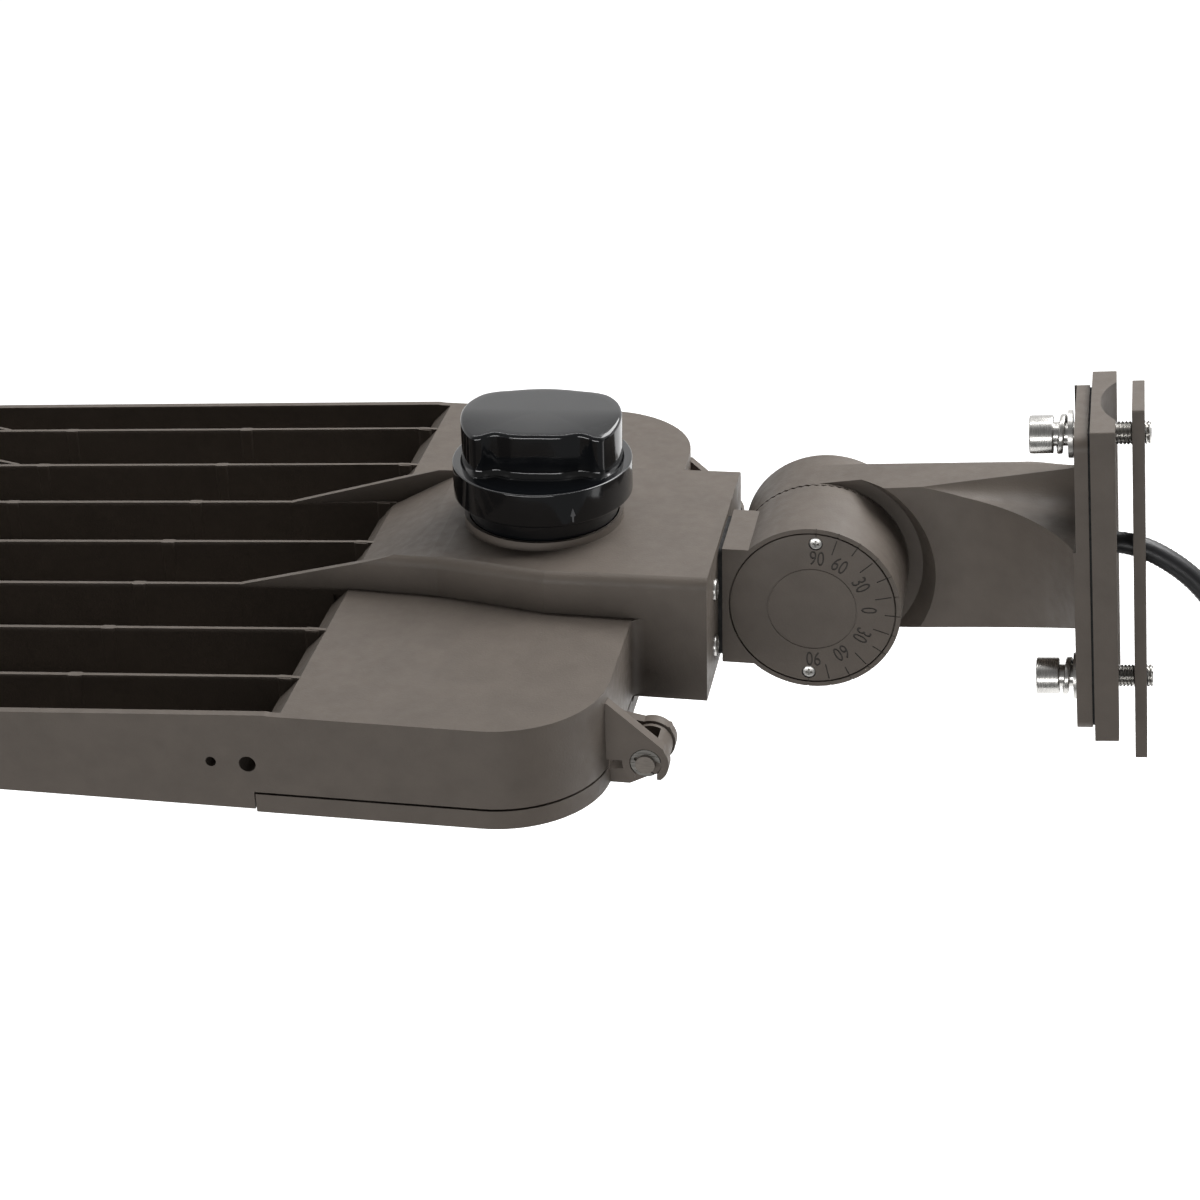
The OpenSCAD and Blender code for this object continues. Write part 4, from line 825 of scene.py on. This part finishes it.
class AREALIGHT_OT_dial(bpy.types.Operator):
    """Dial cover with its engraved ring, ticks and degree numbers"""

    bl_idname = "area_light.dial"
    bl_label = "Tilt dial"

    # The cover's face on the knuckle's axis, and its size
    face, radius, thick = -22.0, 35.4, 2.5
    # Radii of the ring's middle and the numerals' middle, and the radii and heights between
    # which a cut's faces take the painted shade that stands in for the shade inside the cuts
    ring_r, numeral_r = 19.1, 24
    dark_from, dark_to, dark_low, dark_high = 20.2, 35, -0.9, -0.02
    # The numerals' width as a share of the type's, how many degrees they stand before their
    # ticks, and the turn that brings the first clear of its screw
    narrow, lag, clear = 0.68, 4, 6

    def execute(self, context):
        sizes = settings("light_dial")
        profile = rounded([(AXIS_R, 0), (self.radius, 0), (self.radius, -self.thick),
                           (AXIS_R, -self.thick)], 0.35, 3)
        mesh = mesh_from("disc", *lathe(profile, 180))
        mesh = carved(mesh, self.ring() + self.ticks(sizes) + self.seats())
        mesh = carved(mesh, self.numerals(sizes))
        mesh.materials.clear()
        # The tick and numeral cuts take the painted shade, a darker coat for the shade inside
        # them; the ring keeps the plain coat
        for polygon in mesh.polygons:
            height = sum(mesh.vertices[v].co.z for v in polygon.vertices) / len(polygon.vertices)
            painted_shade = (self.dark_from < polygon.center.xy.length < self.dark_to
                      and self.dark_low < height < self.dark_high)
            polygon.material_index = 1 if painted_shade else 0
        # It is drawn with its face up and X to the right, and is set upright here
        upright = Matrix(((1, 0, 0, 0), (0, 0, -1, self.face), (0, 1, 0, 0), (0, 0, 0, 1)))
        mesh.transform(HEAD @ Matrix.Rotation(math.radians(DIAL_TURN), 4, "Y") @ upright)
        smooth(mesh, 30)
        # The second finish is the painted shade in the cuts
        finishes = [finish_for("bronze_coat"), finish_for("engraved_coat")]
        finish_piece(new_object("dial_plate", mesh, finishes), "head", "bronze_paint",
                     "dial_cover")
        return {"FINISHED"}

    def ring(self):
        """The round groove about the middle, narrower at its bottom."""
        rows = []
        for j in range(120):
            a = math.tau * j / 120
            rows.append([((self.ring_r + u) * math.cos(a), (self.ring_r + u) * math.sin(a), v)
                         for u, v in ((-0.45, 0.5), (-0.3, -0.4), (0.3, -0.4), (0.45, 0.5))])
        rows.append(rows[0])
        return [mesh_from("ring", *grid(rows, caps=False))]

    def ticks(self, sizes):
        """A tick each 15 degrees on the pole side: long ones between the numerals, and short
        ones that cut the rim at them."""
        cutters = []
        for i in range(13):
            inner, outer = (27.5, 34.6) if i % 2 else (31.0, 36.0)
            if i in (0, 12):
                # Clear of the screw's seat
                inner = 34.4
            bar = mesh_from("tick", *box_points(
                (-sizes.tick / 2, inner, -sizes.depth), (sizes.tick / 2, outer, 1)))
            bar.transform(Matrix.Rotation(-math.radians(15 * i), 4, "Z"))
            cutters.append(bar)
        return cutters

    def numerals(self, sizes):
        """The degree numbers, each with its top outward."""
        cutters = []
        for i, number in enumerate(("90", "60", "30", "0", "30", "60", "90")):
            curve = bpy.data.curves.new("numeral", "FONT")
            curve.body = number
            curve.size = sizes.numeral
            curve.align_x = "CENTER"
            curve.align_y = "CENTER"
            curve.extrude = sizes.depth
            curve.resolution_u = 3
            text = new_object("numeral", curve)
            mesh = evaluated(text)
            bpy.data.objects.remove(text)
            clean(mesh, 1e-4)
            turn = math.radians(30 * i - self.lag + (self.clear if i == 0 else 0))
            mesh.transform(Matrix.Rotation(-turn, 4, "Z")
                           @ Matrix.Translation((0, self.numeral_r, 0))
                           @ Matrix.Scale(self.narrow, 4, (1, 0, 0)))
            cutters.append(mesh)
        return cutters

    def seats(self):
        """The two screws' seats."""
        profile = [(AXIS_R, 1), (3.0, 1), (3.0, -1.2), (1.6, -1.2), (1.6, -3), (AXIS_R, -3)]
        return [mesh_from("seat", *lathe(profile, 40),
                          Matrix.Translation((0, side * DIAL_SCREW_R, 0))) for side in (-1, 1)]


# Screws


def cross_recess(across, depth):
    """Cutters for a cross recess that narrows with its depth."""
    cutters = []
    for turn in (0, 90):
        rows = []
        for z, share in ((1.0, 1.1), (0.0, 1.0), (-depth, 0.35)):
            x, y = across / 2 * share, across * 0.13 * share
            rows.append([(-x, -y, z), (x, -y, z), (x, y, z), (-x, y, z)])
        cutter = mesh_from("recess", *grid(rows))
        cutter.transform(Matrix.Rotation(math.radians(turn), 4, "Z"))
        cutters.append(cutter)
    return cutters


def hex_recess(across, low, high):
    """Cutter for a hexagon socket between two heights."""
    return [mesh_from("socket", *grid([circle(across / math.sqrt(3), z, 6) for z in (low, high)]))]


def pan_screw(shank_r, length, head_r, head_h):
    """A domed screw with a cross recess; the head sits on z = 0 and the shank points down."""
    dome = [(head_r * math.sin(math.radians(a)),
             head_h * (0.45 + 0.55 * math.cos(math.radians(a)))) for a in range(0, 91, 10)]
    profile = [(0.005, -length), (shank_r - 0.3, -length), (shank_r, -length + 0.4), (shank_r, 0),
               (head_r, 0)]
    profile += [(max(r, 0.005), z) for r, z in reversed(dome)]
    cutters = cross_recess(head_r * 1.25, head_h * 0.75)
    for cutter in cutters:
        cutter.transform(Matrix.Translation((0, 0, head_h)))
    return carved(mesh_from("screw", *lathe(profile, 36)), cutters)


class AREALIGHT_OT_small_screws(bpy.types.Operator):
    """Cross-recess screws of the dial, the neck, the lenses, the driver and the door"""

    bl_idname = "area_light.small_screws"
    bl_label = "Small screws"

    def places(self):
        """Where each screw's head sits, turned the way that it points."""
        across = Matrix.Rotation(math.pi / 2, 4, "X")
        back = Matrix.Rotation(math.pi / 2, 4, "Y")
        down = Matrix.Rotation(math.pi, 4, "X")
        dial_turn = Matrix.Rotation(math.radians(DIAL_TURN), 4, "Y")
        return {
            "dial_screws": [dial_turn @ Matrix.Translation((0, -20.8, s * DIAL_SCREW_R)) @ across
                            for s in (-1, 1)],
            "bracket_screws": [Matrix.Translation((-40.8, y, z)) @ back
                               for y in (-30.5, 30.5) for z in (11, -16)],
            "lens_screws": [Matrix.Translation((x + u, v * 136.0, -34)) @ down
                            for x in LENS_FRONTS for u in (6.0, 140.0) for v in (-1, 0, 1)],
            "driver_screws": [Matrix.Translation((-150 + u * 21.0, 22 + s * 100.0, -5.1)) @ down
                              for s in (-1, 1) for u in (-1, 1)],
            "door_screws": [Matrix.Translation((-205.6, s * 120, -34.1)) @ down
                            for s in (-1, 1)],
        }

    def execute(self, context):
        # Shank radius, length, head radius and head height
        sizes = {
            "dial_screws": (1.5, 8, 2.9, 1.3),
            "bracket_screws": (2.5, 8.5, 4.6, 1.5),
            "lens_screws": (1.5, 9, 3, 1.6),
            "driver_screws": (1.5, 8, 3, 1.8),
            "door_screws": (2.5, 10, 4.6, 2.8),
        }
        for node, places in self.places().items():
            body = "door" if node == "door_screws" else "head"
            screws = [pan_screw(*sizes[node])] * len(places)
            mesh = joined(screws, [HEAD @ place for place in places], 35)
            piece = new_object(node + "_cross", mesh, [finish_for("stainless")])
            finish_piece(piece, body, "steel", node)
        return {"FINISHED"}


class AREALIGHT_OT_pole_screws(bpy.types.Operator):
    """The two threaded pole screws and their spring washers"""

    bl_idname = "area_light.pole_screws"
    bl_label = "Pole screws"

    # Heights along the screw: its head, the socket's floor, the thread's start and its point
    head_top, head_foot, socket_floor, thread_from, point_from = -18, -8, -14, 6, 31
    # The thread's radius, pitch and depth, the rings to a pitch and the rings of the shank
    crest, pitch, depth, pitch_rings, shank_rings = 4.98, 1.5, 0.8, 8, 211
    # The spring washer's middle radius, half its width, half its thickness, its climb and its
    # turn in degrees
    wire_r, half_w, half_t, climb, sweep = 6.8, 1.5, 1.25, 3.5, 350

    def execute(self, context):
        across = Matrix.Rotation(math.pi / 2, 4, "Y")
        places = [ARM @ Matrix.Translation((-17.5, 0, z)) @ across for z in (-57.5, 57.5)]
        for name, mesh, angle, node in (
                ("pole_screw_pair", self.screw(), 35, "pole_screws"),
                ("spring_washer_pair", self.spring(), 40, "spring_washers")):
            piece = new_object(name, joined([mesh] * 2, places, angle),
                               [finish_for("turned_steel")])
            finish_piece(piece, "arm", "steel", node)
        return {"FINISHED"}

    def screw(self):
        """Socket head, then the shank with its thread down to its point, along Z."""
        steps = 96
        head = rounded([(AXIS_R, self.head_top), (8, self.head_top), (8, self.head_foot),
                        (5, self.head_foot)], 0.8, 4)
        rows = [circle(r, z, steps) for r, z in head]
        for level in range(self.shank_rings):
            z = self.head_foot + 0.5 + level * self.pitch / self.pitch_rings
            ring = []
            for j in range(steps):
                a = math.tau * j / steps
                phase = (z / self.pitch - j / steps) % 1.0
                cut = self.depth * (1 - abs(2 * phase - 1)) if z > self.thread_from else 0.0
                radius = min(self.crest - cut, self.crest - 0.9 * max(0.0, z - self.point_from))
                ring.append((radius * math.cos(a), radius * math.sin(a), z))
            rows.append(ring)
        socket = hex_recess(8, self.head_top - 1, self.socket_floor)
        return carved(mesh_from("pole_screw", *grid(rows)), socket)

    def spring(self):
        """One turn of rounded wire that climbs from the washer to the head."""
        corner = []
        for k in range(16):
            a = math.tau * (k + 0.5) / 16
            corner.append((self.half_w * math.copysign(abs(math.cos(a)) ** 0.5, math.cos(a)),
                           self.half_t * math.copysign(abs(math.sin(a)) ** 0.5, math.sin(a))))
        rows = []
        for i in range(97):
            a = math.pi / 2 - math.radians(self.sweep) * i / 96
            z = self.head_foot + self.half_t + self.climb * i / 96
            rows.append([((self.wire_r + u) * math.cos(a), (self.wire_r + u) * math.sin(a), z + v)
                         for u, v in corner])
        return mesh_from("spring", *grid(rows), angle=50)


# LED emitters


class AREALIGHT_OT_emitters(bpy.types.Operator):
    """Yellow emitters on the LED boards, one under each lens"""

    bl_idname = "area_light.emitters"
    bl_label = "LED emitters"

    # A module's size, its lenses each way, the boards' height and how much nearer to one
    # another the rows stand than on an even spread
    module_l, module_w, rows, columns, board_z, closer = 146, 258, 4, 9, -30.4, 4

    def execute(self, context):
        profile = rounded([(AXIS_R, 0), (1.35, 0), (1.35, -0.25), (AXIS_R, -0.45)], 0.15, 3)
        places = []
        for x in LENS_FRONTS:
            for i in range(self.rows):
                for j in range(self.columns):
                    along = self.module_l * (i + 0.5) / self.rows - self.closer * (i - 1.5)
                    across = (j - 4) * self.module_w / self.columns
                    places.append(HEAD @ Matrix.Translation((x + along, across, self.board_z)))
        chip = mesh_from("chip", *lathe(profile, 24))
        mesh = joined([chip] * len(places), places, 32)
        finish_piece(new_object("emitters", mesh, [finish_for("phosphor")]), "head", "white_board")
        return {"FINISHED"}


class AREALIGHT_PT_pieces(bpy.types.Panel):
    """Lists the pieces of the area light"""

    bl_label = "Area light"
    bl_idname = "AREALIGHT_PT_pieces"
    bl_space_type = "VIEW_3D"
    bl_region_type = "UI"
    bl_category = "Area light"

    def draw(self, context):
        for operator in OPERATORS:
            self.layout.operator(operator.bl_idname)


GROUPS = {"light_coat": CoatColours, "light_metal": MetalColours, "light_cap": CapSizes,
          "light_dial": DialSizes, "light_cable": CableSizes, "light_stage": StageSettings}
OPERATORS = (AREALIGHT_OT_stage, AREALIGHT_OT_cable, AREALIGHT_OT_castings, AREALIGHT_OT_cap,
             AREALIGHT_OT_dial, AREALIGHT_OT_small_screws, AREALIGHT_OT_pole_screws,
             AREALIGHT_OT_emitters)


def register():
    for name, group in GROUPS.items():
        bpy.utils.register_class(group)
        setattr(bpy.types.Scene, name, bpy.props.PointerProperty(type=group))
    for cls in (*OPERATORS, AREALIGHT_PT_pieces):
        bpy.utils.register_class(cls)


def unregister():
    for cls in (AREALIGHT_PT_pieces, *reversed(OPERATORS)):
        bpy.utils.unregister_class(cls)
    for name, group in GROUPS.items():
        delattr(bpy.types.Scene, name)
        bpy.utils.unregister_class(group)


def main():
    """Makes the stage and every piece in order."""
    register()
    for operator in OPERATORS:
        group, call = operator.bl_idname.split(".")
        getattr(getattr(bpy.ops, group), call)()


if __name__ == "__main__":
    main()
